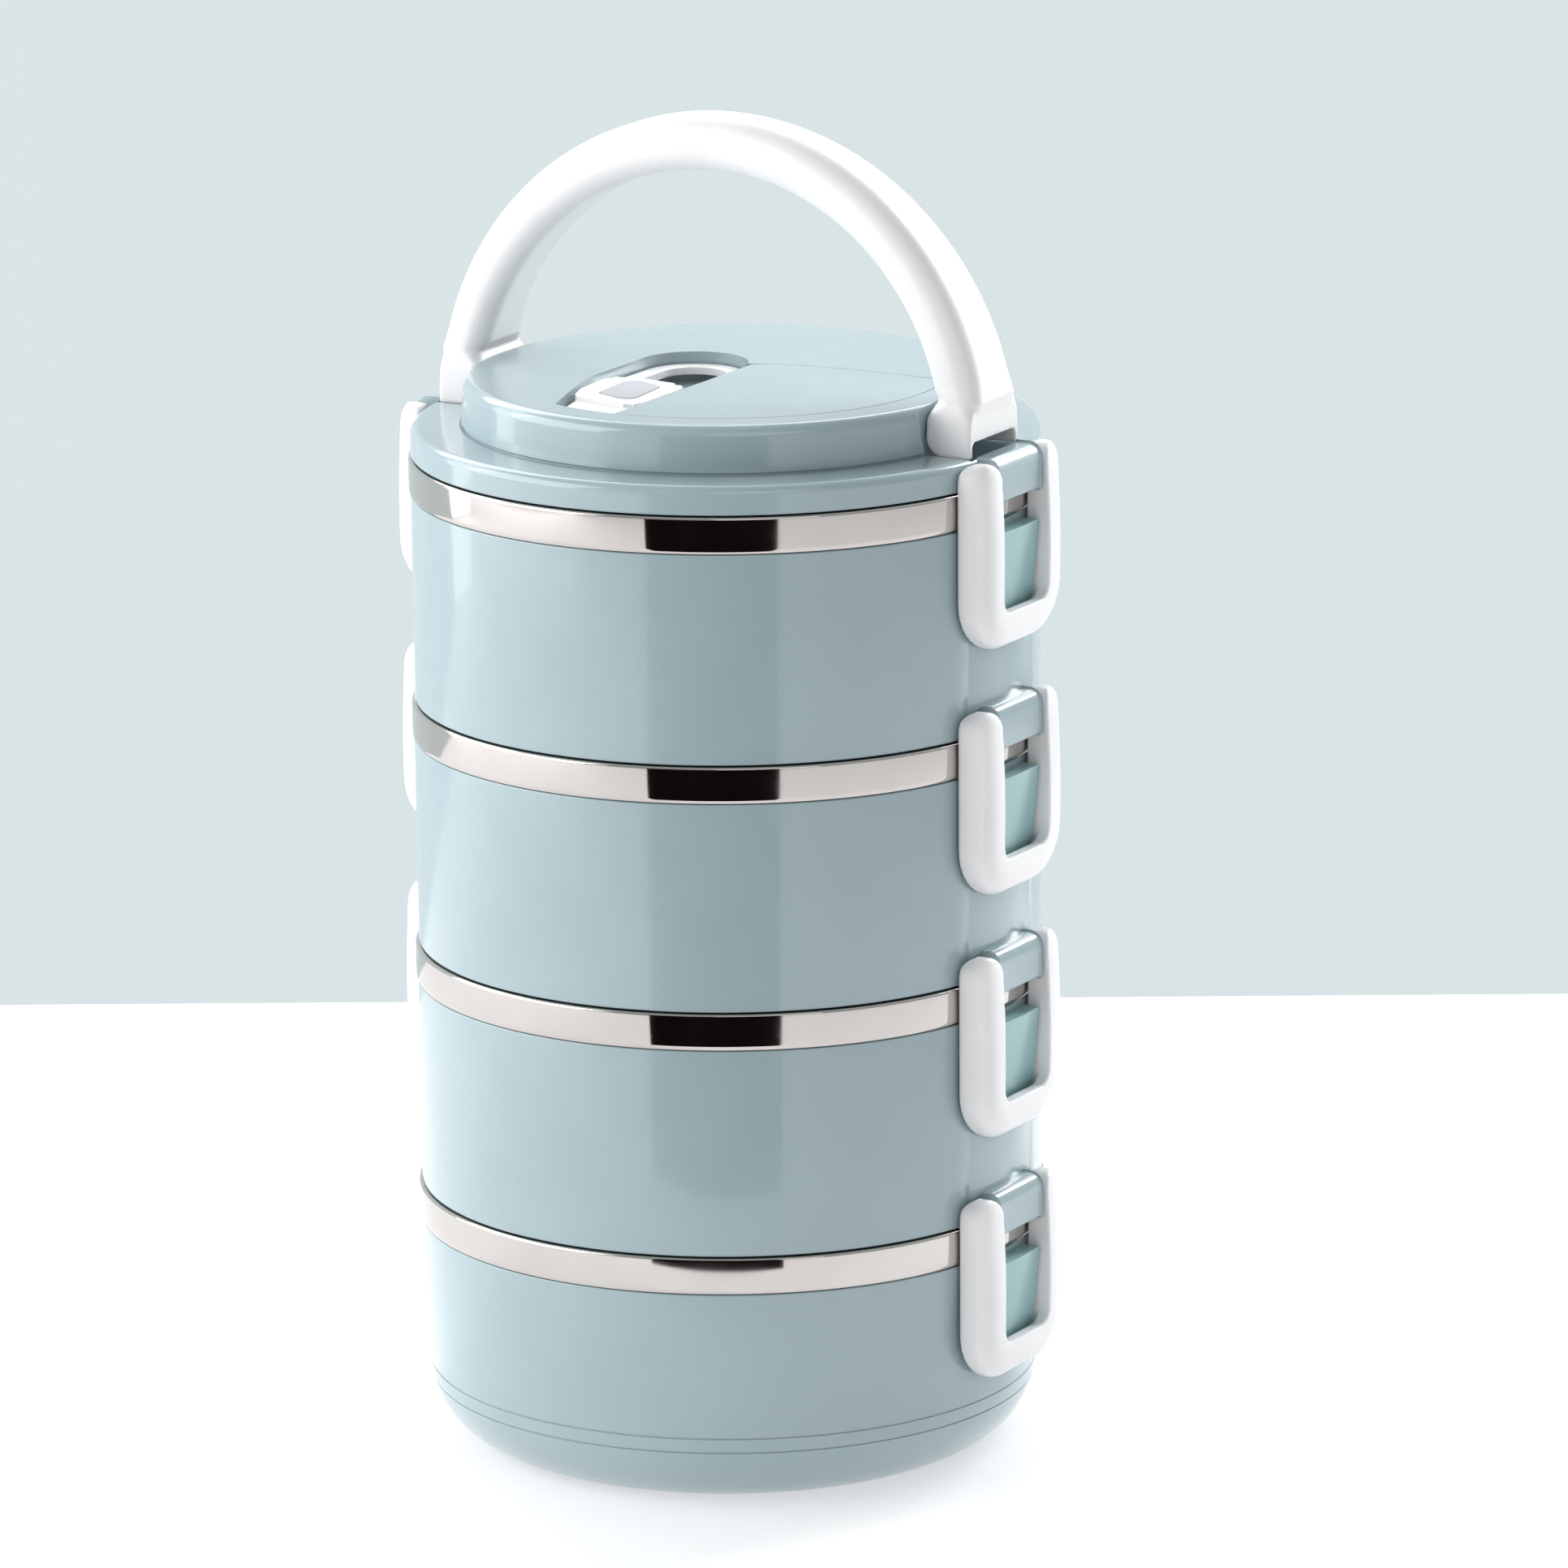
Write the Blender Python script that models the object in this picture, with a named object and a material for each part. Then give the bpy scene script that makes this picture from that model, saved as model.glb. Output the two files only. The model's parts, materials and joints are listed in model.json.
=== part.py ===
"""Tiffin carrier: four stacked food tiers and a carrying lid, held by eight hinged clips.

Frame: +Z up, origin at the centre of the underside. +X points at one column of clips and
-X at the other. Lengths below are in millimetres, and MM turns them into metres.
"""

import math

import bmesh
import bpy
from mathutils import Matrix, Vector

MM = 0.001

# Driving dimensions
BAND_RADIUS = 73.5          # outside of each steel band
WALL_RADIUS = 73.0          # outside of the plastic shells
PITCH = 57.7                # height that each tier adds to the stack
BAND_HEIGHT = 8.4
BASE_RIM = 61.7             # top of the bottom tier's steel band
GAP = 0.3                   # clearance where pieces rest on or in each other
WALL = 2.0
FLOOR = 1.8                 # plastic under each upper tier's bowl
STEEL = 0.7
BAND_SEAT = 72.2            # shell inside the steel band
RIM_BORE = 70.2             # inside of the shell at its rim
SHELL_BELOW_RIM = 1.1
BOWL_RADIUS = 68.2          # inside of each steel bowl
PLUG_RADIUS = 65.6          # part of a tier or lid that drops into the tier below
PLUG_DEPTH = 6.0
FOOT_RADIUS = 52.9          # flat underside, out to the base's big rounded corner
FOOT_CORNER = 18.4
FOOT_RING = 44.0            # inside of the ring that the carrier stands on
FOOT_RECESS = 1.0
BASE_BEND = 38.0            # height where the base's taper grows less
BASE_BEND_RADIUS = 72.4
LEDGE_ABOVE_RIM = 7.1
DISC_RADIUS = 61.0
DISC_ABOVE_RIM = 18.2
SEGMENTS = 32

# Clips
PIN_X = 74.6
PIN_ABOVE_RIM = 3.6
PIN_RADIUS = 0.9
PIN_REACH = 15.7
CLIP_HALF_WIDTH = 19.8
WINDOW_HALF_WIDTH = 10.6
CLIP_TOP = 3.4              # heights here are measured from the pin
WINDOW_BOTTOM = -32.1
HOOK_SHELF = -35.0
CLIP_BOTTOM = -41.0
CLIP_OUTER_CORNER = 9.0
CLIP_INNER_CORNER = 2.0
CLIP_EDGE = 3.0             # rounding of the clip's outer front edges
CLIP_OUTER = 3.7            # flat front of the clip, outwards from the pin
CLIP_BACK_RADIUS = 73.85    # the clip's back follows the stack's wall
CLIP_BELLY = 0.7
LUG_HALF_WIDTH = 10.1
LUG_ROOT = 71.5
LUG_OVER_BAND = 73.9        # back of the part that hangs over the band
LUG_FACE = 77.0
LUG_BARREL = 5.2            # rounding of the lug's upper front edge
LUG_DROP = 3.2
KEEPER_HALF_WIDTH = 10.2
KEEPER_RADIUS = 77.2
KEEPER_TOP = -10.2          # heights here are measured from the band's top
KEEPER_BOTTOM = -30.5
TONGUE_HALF = 5.0
LEG_RELIEF = 3.9            # radius cleared in the shell for a clip leg's rounded end

# Handle
ARCH_BASE_ABOVE_RIM = 6.7   # height of the arch's centre
ARCH_INNER = 59.4
ARCH_OUTER = 72.2
ARCH_HALF_WIDTH = 7.6
HANDLE_PIVOT_ABOVE_RIM = 14.2
LEG_HALF_WIDTH = 10.2
LEG_ANGLE = 14              # where the arch's curve begins, in degrees above its centre
PIVOT_RADIUS = 2.2
PIVOT_START = 54.6          # ends of each pivot pin, from the stack's axis
PIVOT_END = 66.2
FOOT_HALF_WIDTH = 12.0
CHEEK_INSIDE = 10.2         # half the opening under the foot, between its two cheeks
OPENING_TOP = -3.9
POCKET_RADIUS = 14.6
POCKET_FACE = 58.4          # flat in the disc's side that the handle's foot lies against

# Vent lever and compartment, seen from above
WELL_RIGHT = 0.0
WELL_LEFT = -25.7
WELL_END = (-12.85, 7.4)    # centre of the well's round end
WELL_DEPTH = 6.4
FEATURE_RADIUS = 51.5       # front of the well and of the compartment's cover
LEVER_AXIS_Y = -47.6
LEVER_AXIS_BELOW_TOP = 3.0
VENT = (-12.9, -25.0)
COVER_THICKNESS = 1.8
COMPARTMENT_DEPTH = 11.2

RIMS = [BASE_RIM + level * PITCH for level in range(4)]
LID_RIM = RIMS[-1]
LID_TOP = LID_RIM + DISC_ABOVE_RIM
SIDES = (("right", 0.0), ("left", math.pi))

COLOURS = {
    "shell_blue": ((0.36, 0.47, 0.50), 0.28, 0.0),
    "keeper_teal": ((0.35, 0.54, 0.55), 0.35, 0.0),
    "white_plastic": ((0.83, 0.83, 0.85), 0.38, 0.0),
    "polished_steel": ((0.62, 0.60, 0.58), 0.08, 1.0),
    "white_silicone": ((0.78, 0.79, 0.80), 0.6, 0.0),
    "grey_inlay": ((0.52, 0.54, 0.56), 0.5, 0.0),
}


def clear_scene():
    for obj in list(bpy.data.objects):
        bpy.data.objects.remove(obj, do_unlink=True)


def material(name):
    made = bpy.data.materials.get(name)
    if made:
        return made
    colour, roughness, metallic = COLOURS[name]
    made = bpy.data.materials.new(name)
    made.use_nodes = True
    shader = made.node_tree.nodes["Principled BSDF"]
    shader.inputs["Base Color"].default_value = (*colour, 1.0)
    shader.inputs["Roughness"].default_value = roughness
    shader.inputs["Metallic"].default_value = metallic
    return made


def to_mesh(shape):
    bmesh.ops.recalc_face_normals(shape, faces=shape.faces)
    mesh = bpy.data.meshes.new("shape")
    shape.to_mesh(mesh)
    shape.free()
    return mesh


def add(name, mesh, finish, location=(0, 0, 0), turn=0.0):
    """One node: its mesh is in metres about its own origin, its location in millimetres."""
    obj = bpy.data.objects.new(name, mesh)
    bpy.context.scene.collection.objects.link(obj)
    obj.location = Vector(location) * MM
    obj.rotation_euler.z = turn
    mesh.materials.clear()
    mesh.materials.append(material(finish))
    mesh.shade_smooth()
    mesh.set_sharp_from_angle(angle=math.radians(35))
    return obj


def turned(profile, segments=SEGMENTS):
    """Solid of revolution about Z. profile is (radius, height), closed or ending on the axis."""
    shape = bmesh.new()
    points = [shape.verts.new((radius * MM, 0, height * MM)) for radius, height in profile]
    pairs = list(zip(points, points[1:]))
    if profile[0][0] > 0:
        pairs.append((points[-1], points[0]))
    edges = [shape.edges.new(pair) for pair in pairs]
    bmesh.ops.spin(
        shape, geom=points + edges, cent=(0, 0, 0), axis=(0, 0, 1), dvec=(0, 0, 0),
        angle=math.tau, steps=segments, use_merge=True, use_duplicate=False,
    )
    bmesh.ops.remove_doubles(shape, verts=shape.verts, dist=1e-6)
    return to_mesh(shape)


def prism(outline, near, far, place):
    """Solid between two copies of an outline. place(a, b, t) puts an outline point in space."""
    shape = bmesh.new()
    ends = [[shape.verts.new(Vector(place(a, b, t)) * MM) for a, b in outline] for t in (near, far)]
    shape.faces.new(ends[0])
    shape.faces.new(reversed(ends[1]))
    count = len(outline)
    for i in range(count):
        j = (i + 1) % count
        shape.faces.new((ends[0][i], ends[0][j], ends[1][j], ends[1][i]))
    return to_mesh(shape)


def along_x(a, b, t):
    return (t, a, b)


def along_y(a, b, t):
    return (a, t, b)


def along_z(a, b, t):
    return (a, b, t)


def arc(centre, radius, start, end, steps):
    """Points of an arc from start to end, in degrees, both ends included."""
    angles = [math.radians(start + (end - start) * i / steps) for i in range(steps + 1)]
    return [(centre[0] + radius * math.cos(a), centre[1] + radius * math.sin(a)) for a in angles]


def circle(centre, radius, count):
    return arc(centre, radius, 0, 360, count)[:-1]


def rectangle(left, bottom, right, top):
    return [(left, bottom), (right, bottom), (right, top), (left, top)]


def combine(mesh, tools, operation):
    """mesh after one exact Boolean with each of the tool meshes."""
    target = bpy.data.objects.new("target", mesh)
    bpy.context.scene.collection.objects.link(target)
    helpers = []
    for tool in tools:
        helper = bpy.data.objects.new("helper", tool)
        bpy.context.scene.collection.objects.link(helper)
        helpers.append(helper)
        modifier = target.modifiers.new("combine", "BOOLEAN")
        modifier.operation = operation
        modifier.object = helper
    graph = bpy.context.evaluated_depsgraph_get()
    result = bpy.data.meshes.new_from_object(target.evaluated_get(graph))
    for obj in [target, *helpers]:
        bpy.data.objects.remove(obj, do_unlink=True)
    return result


def join(mesh, tools):
    return combine(mesh, tools, "UNION")


def cut(mesh, tools):
    return combine(mesh, tools, "DIFFERENCE")


def both_sides(mesh):
    """mesh and its copy half a turn round the stack."""
    copy = mesh.copy()
    copy.transform(Matrix.Rotation(math.pi, 4, "Z"))
    return [mesh, copy]


# Shells and steel bowls

def hinge_lug(rim):
    """Block that a clip hangs from. It overhangs the steel band below, clear of it."""
    low, root, top = rim - LUG_DROP, rim + 2 * GAP, rim + LEDGE_ABOVE_RIM
    outline = [
        (LUG_ROOT, root), (LUG_OVER_BAND, root), (LUG_OVER_BAND, low), (LUG_FACE - 1, low),
        (LUG_FACE, low + 1), *arc((LUG_FACE - LUG_BARREL, top - LUG_BARREL), LUG_BARREL, 0, 90, 4),
        (LUG_ROOT, top),
    ]
    return prism(outline, -LUG_HALF_WIDTH, LUG_HALF_WIDTH, along_y)


def lug_cuts(rim):
    """Pin bore through a lug, and room beside it for the clip legs' rounded ends."""
    pin = (PIN_X, rim + PIN_ABOVE_RIM)
    cuts = [prism(circle(pin, PIN_RADIUS + GAP, 10), -20, 20, along_y)]
    for near, far in ((LUG_HALF_WIDTH + 0.1, 21.0), (-21.0, -LUG_HALF_WIDTH - 0.1)):
        cuts.append(prism(circle(pin, LEG_RELIEF, 16), near, far, along_y))
    return cuts


def keeper_slot(rim):
    middle = rim + (KEEPER_TOP + KEEPER_BOTTOM) / 2
    half = TONGUE_HALF + GAP
    return prism(rectangle(-half, middle - half, half, middle + half), 66, 80, along_x)


def with_lugs(mesh, rim):
    lugs = both_sides(hinge_lug(rim))
    cuts = [tool for one in lug_cuts(rim) for tool in both_sides(one)]
    return cut(join(mesh, lugs), cuts)


def upper_shell(below, rim):
    """Plastic shell of a tier. below is the top of the band that it stands on."""
    step = rim - BAND_HEIGHT - GAP
    top = rim - SHELL_BELOW_RIM
    floor = below - PLUG_DEPTH
    bore = PLUG_RADIUS - WALL
    profile = [
        (0, floor), (PLUG_RADIUS - 1, floor), (PLUG_RADIUS, floor + 1), (PLUG_RADIUS, below + GAP),
        (WALL_RADIUS - 0.6, below + GAP), (WALL_RADIUS - 0.3, below + 0.6), (WALL_RADIUS, step),
        (BAND_SEAT, step), (BAND_SEAT, top), (RIM_BORE, top), (RIM_BORE, below + GAP + WALL),
        (bore, below + GAP + WALL), (bore, floor + FLOOR), (0, floor + FLOOR),
    ]
    mesh = with_lugs(turned(profile), below)
    return cut(mesh, both_sides(keeper_slot(rim)))


def base_shell(rim):
    """Plastic shell of the bottom tier, with its big rounded lower corner and a foot ring."""
    step = rim - BAND_HEIGHT - GAP
    top = rim - SHELL_BELOW_RIM
    centre = (FOOT_RADIUS, FOOT_CORNER)
    outside = arc(centre, FOOT_CORNER, -90, 0, 3)
    inside = arc(centre, FOOT_CORNER - WALL - GAP, 0, -90, 3)
    profile = [
        (0, FOOT_RECESS), (FOOT_RING - 1, FOOT_RECESS), (FOOT_RING, 0), *outside,
        (BASE_BEND_RADIUS, BASE_BEND), (WALL_RADIUS, step), (BAND_SEAT, step), (BAND_SEAT, top),
        (RIM_BORE, top), (70.0, BASE_BEND), *inside, (0, FOOT_RECESS + WALL),
    ]
    return cut(turned(profile), both_sides(keeper_slot(rim)))


def liner_rim(rim):
    """Folded steel rim, from the bowl's outside round to its inside. Its outer leaf is the band."""
    under, low = rim - 0.8, rim - BAND_HEIGHT
    return [
        (BOWL_RADIUS + STEEL, under), (BAND_RADIUS - 1, under), (BAND_RADIUS - 1, low),
        (BAND_RADIUS, low), (BAND_RADIUS, rim - 0.6), (BAND_RADIUS - 0.6, rim), (BOWL_RADIUS, rim),
    ]


def upper_liner(below, rim):
    """Bowl of an upper tier: a flat floor in the plug, widening in two slopes to a straight wall."""
    floor = below - PLUG_DEPTH + FLOOR + 0.4
    outside = [
        (0, floor), (55, floor), (61.5, below - 1.5), (63.0, below + 2.9), (BOWL_RADIUS + STEEL, below + 9.5),
    ]
    inside = [
        (BOWL_RADIUS, below + 9.8), (62.3, below + 3.2), (60.9, below - 1), (54.8, floor + STEEL),
        (0, floor + STEEL),
    ]
    return turned(outside + liner_rim(rim) + inside)


def base_liner(rim):
    """Deeper bowl of the bottom tier, whose lower corner follows the shell's."""
    centre = (FOOT_RADIUS, FOOT_CORNER + GAP)
    corner = FOOT_CORNER - 3.0
    outside = arc(centre, corner, -90, 0, 3)
    inside = arc(centre, corner - STEEL, 0, -90, 3)
    straight, floor = 30, centre[1] - corner
    profile = [
        (0, floor), *outside, (BOWL_RADIUS + STEEL, straight), *liner_rim(rim), (BOWL_RADIUS, straight),
        *inside, (0, floor + STEEL),
    ]
    return turned(profile)


def seal(rim):
    """Silicone ring round a plug, with a lip that meets the bowl of the tier below."""
    inner = PLUG_RADIUS + GAP
    profile = [
        (inner, rim - 4.6), (inner + 1.2, rim - 4.6), (BOWL_RADIUS - GAP, rim - 2.6),
        (inner + 1.2, rim - 0.3), (inner, rim - 0.3),
    ]
    return turned(profile)


# Clips and keepers

def clip():
    """U-shaped clip about its own pin, with a hooked shelf inside its crossbar."""
    leg_half = (CLIP_HALF_WIDTH - WINDOW_HALF_WIDTH) / 2
    leg_centre = WINDOW_HALF_WIDTH + leg_half
    end = (leg_centre, CLIP_TOP - leg_half)
    outer, inner = CLIP_OUTER_CORNER, CLIP_INNER_CORNER
    half = [
        (WINDOW_HALF_WIDTH, WINDOW_BOTTOM / 2),
        *arc(end, leg_half, 180, 0, 4),
        (CLIP_HALF_WIDTH, CLIP_BOTTOM / 2),
        *arc((CLIP_HALF_WIDTH - outer, CLIP_BOTTOM + outer), outer, 0, -90, 3),
    ]
    window = arc((WINDOW_HALF_WIDTH - inner, WINDOW_BOTTOM + inner), inner, -90, 0, 2)
    right = window + half
    outline = right + [(-y, z) for y, z in reversed(right)]
    shape = bmesh.new()
    shape.from_mesh(prism(outline, -4.5, CLIP_OUTER, along_x))
    outside = [
        edge for edge in shape.edges
        if all(v.co.x > (CLIP_OUTER - 0.1) * MM for v in edge.verts)
        and any(
            abs(v.co.y) > leg_centre * MM or v.co.z > end[1] * MM or v.co.z < (WINDOW_BOTTOM - 2) * MM
            for v in edge.verts
        )
    ]
    bmesh.ops.bevel(shape, geom=outside, offset=CLIP_EDGE * MM, segments=2, profile=0.5, affect="EDGES")
    for vert in shape.verts:
        if vert.co.x > 0:
            drop = min(max(vert.co.z / (CLIP_BOTTOM * MM), 0), 1)
            vert.co.x += CLIP_BELLY * math.sin(math.pi * drop) * MM
    back = arc((-PIN_X, 0), CLIP_BACK_RADIUS, -18, 18, 9) + [(-12, 25), (-12, -25)]
    shelf = [
        (1.3, WINDOW_BOTTOM + 6), (1.3, HOOK_SHELF), (-1.6, HOOK_SHELF), (-6, HOOK_SHELF - 3.5),
        (-6, WINDOW_BOTTOM + 6),
    ]
    heel = [(-6, 0), (-6, 6), (0, 6), *arc((0, 0), CLIP_TOP, 90, 180, 4)]
    cuts = [
        prism(back, CLIP_BOTTOM - 1, 10, along_z),
        prism(heel, -25, 25, along_y),
        prism(shelf, -WINDOW_HALF_WIDTH + 0.1, WINDOW_HALF_WIDTH - 0.1, along_y),
        prism(circle((0, 0), PIN_RADIUS + GAP, 10), -PIN_REACH - 0.4, PIN_REACH + 0.4, along_y),
    ]
    return cut(to_mesh(shape), cuts)


def clip_pin():
    return prism(circle((0, 0), PIN_RADIUS, 10), -PIN_REACH, PIN_REACH, along_y)


def keeper(rim, wall_top, wall_bottom):
    """Curved catch plate, with a tongue through the shell. Its back follows the shell's taper."""
    reach = math.degrees(math.asin(KEEPER_HALF_WIDTH / KEEPER_RADIUS))
    top, bottom = rim + KEEPER_TOP, rim + KEEPER_BOTTOM
    shape = bmesh.new()
    rings = []
    for height, back, front in (
        (top, wall_top, KEEPER_RADIUS - 0.6), (top - 0.6, wall_top, KEEPER_RADIUS),
        (bottom + 7, wall_bottom, KEEPER_RADIUS), (bottom + 3, wall_bottom, KEEPER_RADIUS - 1.5),
        (bottom, wall_bottom, KEEPER_RADIUS - 2.7),
    ):
        outline = arc((0, 0), front, -reach, reach, 4) + arc((0, 0), back, reach, -reach, 2)
        rings.append([shape.verts.new(Vector((x, y, height)) * MM) for x, y in outline])
    for upper, lower in zip(rings, rings[1:]):
        for i in range(len(upper)):
            j = (i + 1) % len(upper)
            shape.faces.new((upper[i], upper[j], lower[j], lower[i]))
    shape.faces.new(rings[0])
    shape.faces.new(reversed(rings[-1]))
    middle = (top + bottom) / 2
    square = rectangle(-TONGUE_HALF, middle - TONGUE_HALF, TONGUE_HALF, middle + TONGUE_HALF)
    return join(to_mesh(shape), [prism(square, 70.6, KEEPER_RADIUS - 1, along_x)])


# Lid

def well_outline(inset=0.0):
    """The vent lever's well seen from above, anticlockwise from its front right corner."""
    front = FEATURE_RADIUS - inset
    front_right = 270 - math.degrees(inset / front)
    front_left = 250.8 + inset
    return [
        *arc(WELL_END, -WELL_END[0] - inset, 0, 180, 8),
        (WELL_LEFT + inset, -17), (WELL_LEFT + 3 + inset, -30),
        *arc((0, 0), front, front_left, front_right, 2),
    ]


def cover_outline(inset=0.0, left=WELL_RIGHT):
    """The compartment's cover seen from above: a soft corner at the well, then the front arc."""
    back = [(38, 17.2), (26, 17.5), (12, 16.2), (4, 14.4), (left, 12)]
    radius = FEATURE_RADIUS - inset
    start = -90 + math.degrees(left / radius)
    end = math.degrees(math.asin((16.2 - inset) / radius))
    return arc((0, 0), radius, start, end, 10) + [(x, y - inset) for x, y in back]


def handle_pocket():
    """Room for the handle's foot in the disc's side and the ledge, round the handle's pivot."""
    pivot = (0, LID_RIM + HANDLE_PIVOT_ABOVE_RIM)
    floor = LID_RIM + 1.4
    wide = [p for p in arc(pivot, POCKET_RADIUS, 0, -180, 16) if p[1] > floor + 0.5]
    side = math.sqrt(POCKET_RADIUS**2 - (pivot[1] - floor) ** 2)
    split = len(wide) // 2
    outline = wide[:split] + [(side, floor), (-side, floor)] + wide[split:]
    outline += [(-POCKET_RADIUS, LID_TOP + 1), (POCKET_RADIUS, LID_TOP + 1)]
    return [
        prism(outline, POCKET_FACE, 71.2, along_x),
        prism(circle(pivot, PIVOT_RADIUS + GAP, 12), 54, 60, along_x),
    ]


def lid_shell():
    ledge = LID_RIM + LEDGE_ABOVE_RIM
    seat = LID_RIM + GAP
    plug = LID_RIM - PLUG_DEPTH
    profile = [
        (0, LID_TOP), (DISC_RADIUS - 2.6, LID_TOP), (DISC_RADIUS - 0.7, LID_TOP - 0.8),
        (DISC_RADIUS, LID_TOP - 2.6), (DISC_RADIUS, ledge), (71.6, ledge), (WALL_RADIUS, ledge - 1.4),
        (WALL_RADIUS, seat + 0.3), (WALL_RADIUS - 0.3, seat), (PLUG_RADIUS, seat), (PLUG_RADIUS, plug + 1),
        (PLUG_RADIUS - 0.7, plug), (PLUG_RADIUS - WALL, plug), (PLUG_RADIUS - WALL, ledge - WALL),
        (DISC_RADIUS - WALL, ledge - WALL), (DISC_RADIUS - WALL, LID_TOP - WALL), (0, LID_TOP - WALL),
    ]
    well_floor = LID_TOP - WELL_DEPTH
    pocket_floor = LID_TOP - COMPARTMENT_DEPTH
    under_ledge = prism(rectangle(54.5, -16.5, 70, 16.5), LID_RIM + 0.1, ledge - 0.5, along_z)
    in_disc = prism(rectangle(54.5, -16.2, 58.6, 16.2), ledge - 1, LID_TOP - 1, along_z)
    tubs = [
        prism(well_outline(-3), well_floor - 1.8, LID_TOP - 1, along_z),
        prism(cover_outline(-0.8, WELL_RIGHT + 1), pocket_floor - 1.6, LID_TOP - 1, along_z),
        *both_sides(under_ledge),
        *both_sides(in_disc),
    ]
    hinge = (LEVER_AXIS_Y, LID_TOP - LEVER_AXIS_BELOW_TOP)
    hollows = [
        prism(well_outline(), well_floor, LID_TOP + 1, along_z),
        prism(cover_outline(0, WELL_RIGHT - 0.6), LID_TOP - COVER_THICKNESS - GAP, LID_TOP + 1.5, along_z),
        prism(cover_outline(3.2, WELL_RIGHT + 3.2), pocket_floor, LID_TOP + 2, along_z),
        prism(circle(VENT, 2.6, 12), well_floor - 4, well_floor + 1, along_z),
        prism(circle(hinge, 1.1, 8), -19, 2, along_x),
    ]
    for tool in handle_pocket():
        hollows += both_sides(tool)
    return with_lugs(cut(join(turned(profile), tubs), hollows), LID_RIM)


def lid_inner_plate():
    """Food-side plate that closes the lid's underside, with the vent's chimney."""
    low = LID_RIM - PLUG_DEPTH + 0.3
    edge = PLUG_RADIUS - WALL - GAP
    profile = [
        (0, low), (edge - 0.8, low), (edge, low + 0.8), (edge, low + 5), (edge - 1.4, low + 5),
        (edge - 1.4, low + 1.3), (0, low + 1.3),
    ]
    chimney = prism(circle(VENT, 4.6, 12), low + 0.6, LID_TOP - WELL_DEPTH - 2.1, along_z)
    bore = prism(circle(VENT, 3.0, 12), low - 1, LID_TOP, along_z)
    return cut(join(turned(profile), [chimney]), [bore])


def vent_lever():
    """Lever in the lid's well, about its own axis: finger loop, button pad and hinge barrel."""
    top = LEVER_AXIS_BELOW_TOP
    outline = [(x, y - LEVER_AXIS_Y) for x, y in well_outline(0.8) if y > LEVER_AXIS_Y + 1]
    outline += [(-16.3, 0), (-1, 0)]
    end = (WELL_END[0], WELL_END[1] - LEVER_AXIS_Y)
    loop_hole = arc(end, 7.8, 0, 180, 6) + [(end[0] - 7.8, 38.5), (end[0] + 7.8, 38.5)]
    pad = [(-19.2, 12), (-2.6, 8.5), (-1.0, 10), (-1.0, 30), (-4, 33.4), (-20, 36), (-23, 33), (-21.9, 19)]
    plate = prism(outline, -1.5, 0.3, along_z)
    parts = [
        prism(pad, -1.0, top - 0.4, along_z),
        prism([(-16.3, 0), (-1, 0), (-1, 12), (-19.0, 12)], -1.2, top - 1.3, along_z),
        prism(circle((0, 0), 2.0, 12), -13, -1, along_x),
    ]
    hollow = [
        prism(loop_hole, -5, 5, along_z),
        prism(inlay_outline(GAP), top - 1.1, top + 2, along_z),
        prism(circle((VENT[0], VENT[1] - LEVER_AXIS_Y), 1.5, 8), -5, 0.7, along_z),
        prism(circle((0, 0), 1.1, 8), -20, 5, along_x),
    ]
    return cut(join(plate, parts), hollow)


def inlay_outline(grow=0.0):
    """Rounded grey panel on the button pad, about the lever's axis."""
    corners = [(-16.6, 33.2), (-15.6, 16.4), (-4.8, 12.0), (-6.4, 28.4)]
    middle = [sum(values) / 4 for values in zip(*corners)]
    soft = []
    for i, corner in enumerate(corners):
        for other in (corners[i - 1], corners[(i + 1) % 4]):
            soft.append([c + (o - c) * 0.16 for c, o in zip(corner, other)])
    scale = 1 + grow / 6.5
    return [tuple(m + (c - m) * scale for c, m in zip(point, middle)) for point in soft]


def vent_plug():
    """Silicone stopper under the lever: a stem up into the lever, a flange and a nose."""
    floor = LID_TOP - WELL_DEPTH
    profile = [
        (0, floor - 1.7), (1.5, floor - 1.7), (2.1, floor + 0.1), (4.0, floor + 0.3),
        (4.0, floor + 1.5), (1.2, floor + 1.6), (1.2, floor + 3.6), (0, floor + 3.6),
    ]
    mesh = turned(profile, 12)
    axis = Vector((VENT[0], VENT[1] - LEVER_AXIS_Y, LEVER_AXIS_BELOW_TOP - LID_TOP))
    mesh.transform(Matrix.Translation(axis * MM))
    return mesh


# Handle

def handle_section(inner, outer, half, corner):
    """Eight-sided cross-section between two radii, as (radius, across) points."""
    soft = corner * 0.9
    return [
        (inner + soft, -half), (outer - soft, -half), (outer, -half + corner), (outer, half - corner),
        (outer - soft, half), (inner + soft, half), (inner, half - corner), (inner, -half + corner),
    ]


def foot_rings():
    """Sections of one flat foot from its sole up into the leg, with heights from the pivot."""
    sections = [
        (-7.4, 58.9, 70.4, FOOT_HALF_WIDTH - 0.8, 1.0), (-6.4, 58.8, 70.6, FOOT_HALF_WIDTH, 1.2),
        (1.0, 58.8, 70.9, FOOT_HALF_WIDTH, 1.6), (4.6, 61.0, 71.0, 9.2, 2.4),
    ]
    return [[(r, y, height) for r, y in handle_section(*shape)] for height, *shape in sections]


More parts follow.
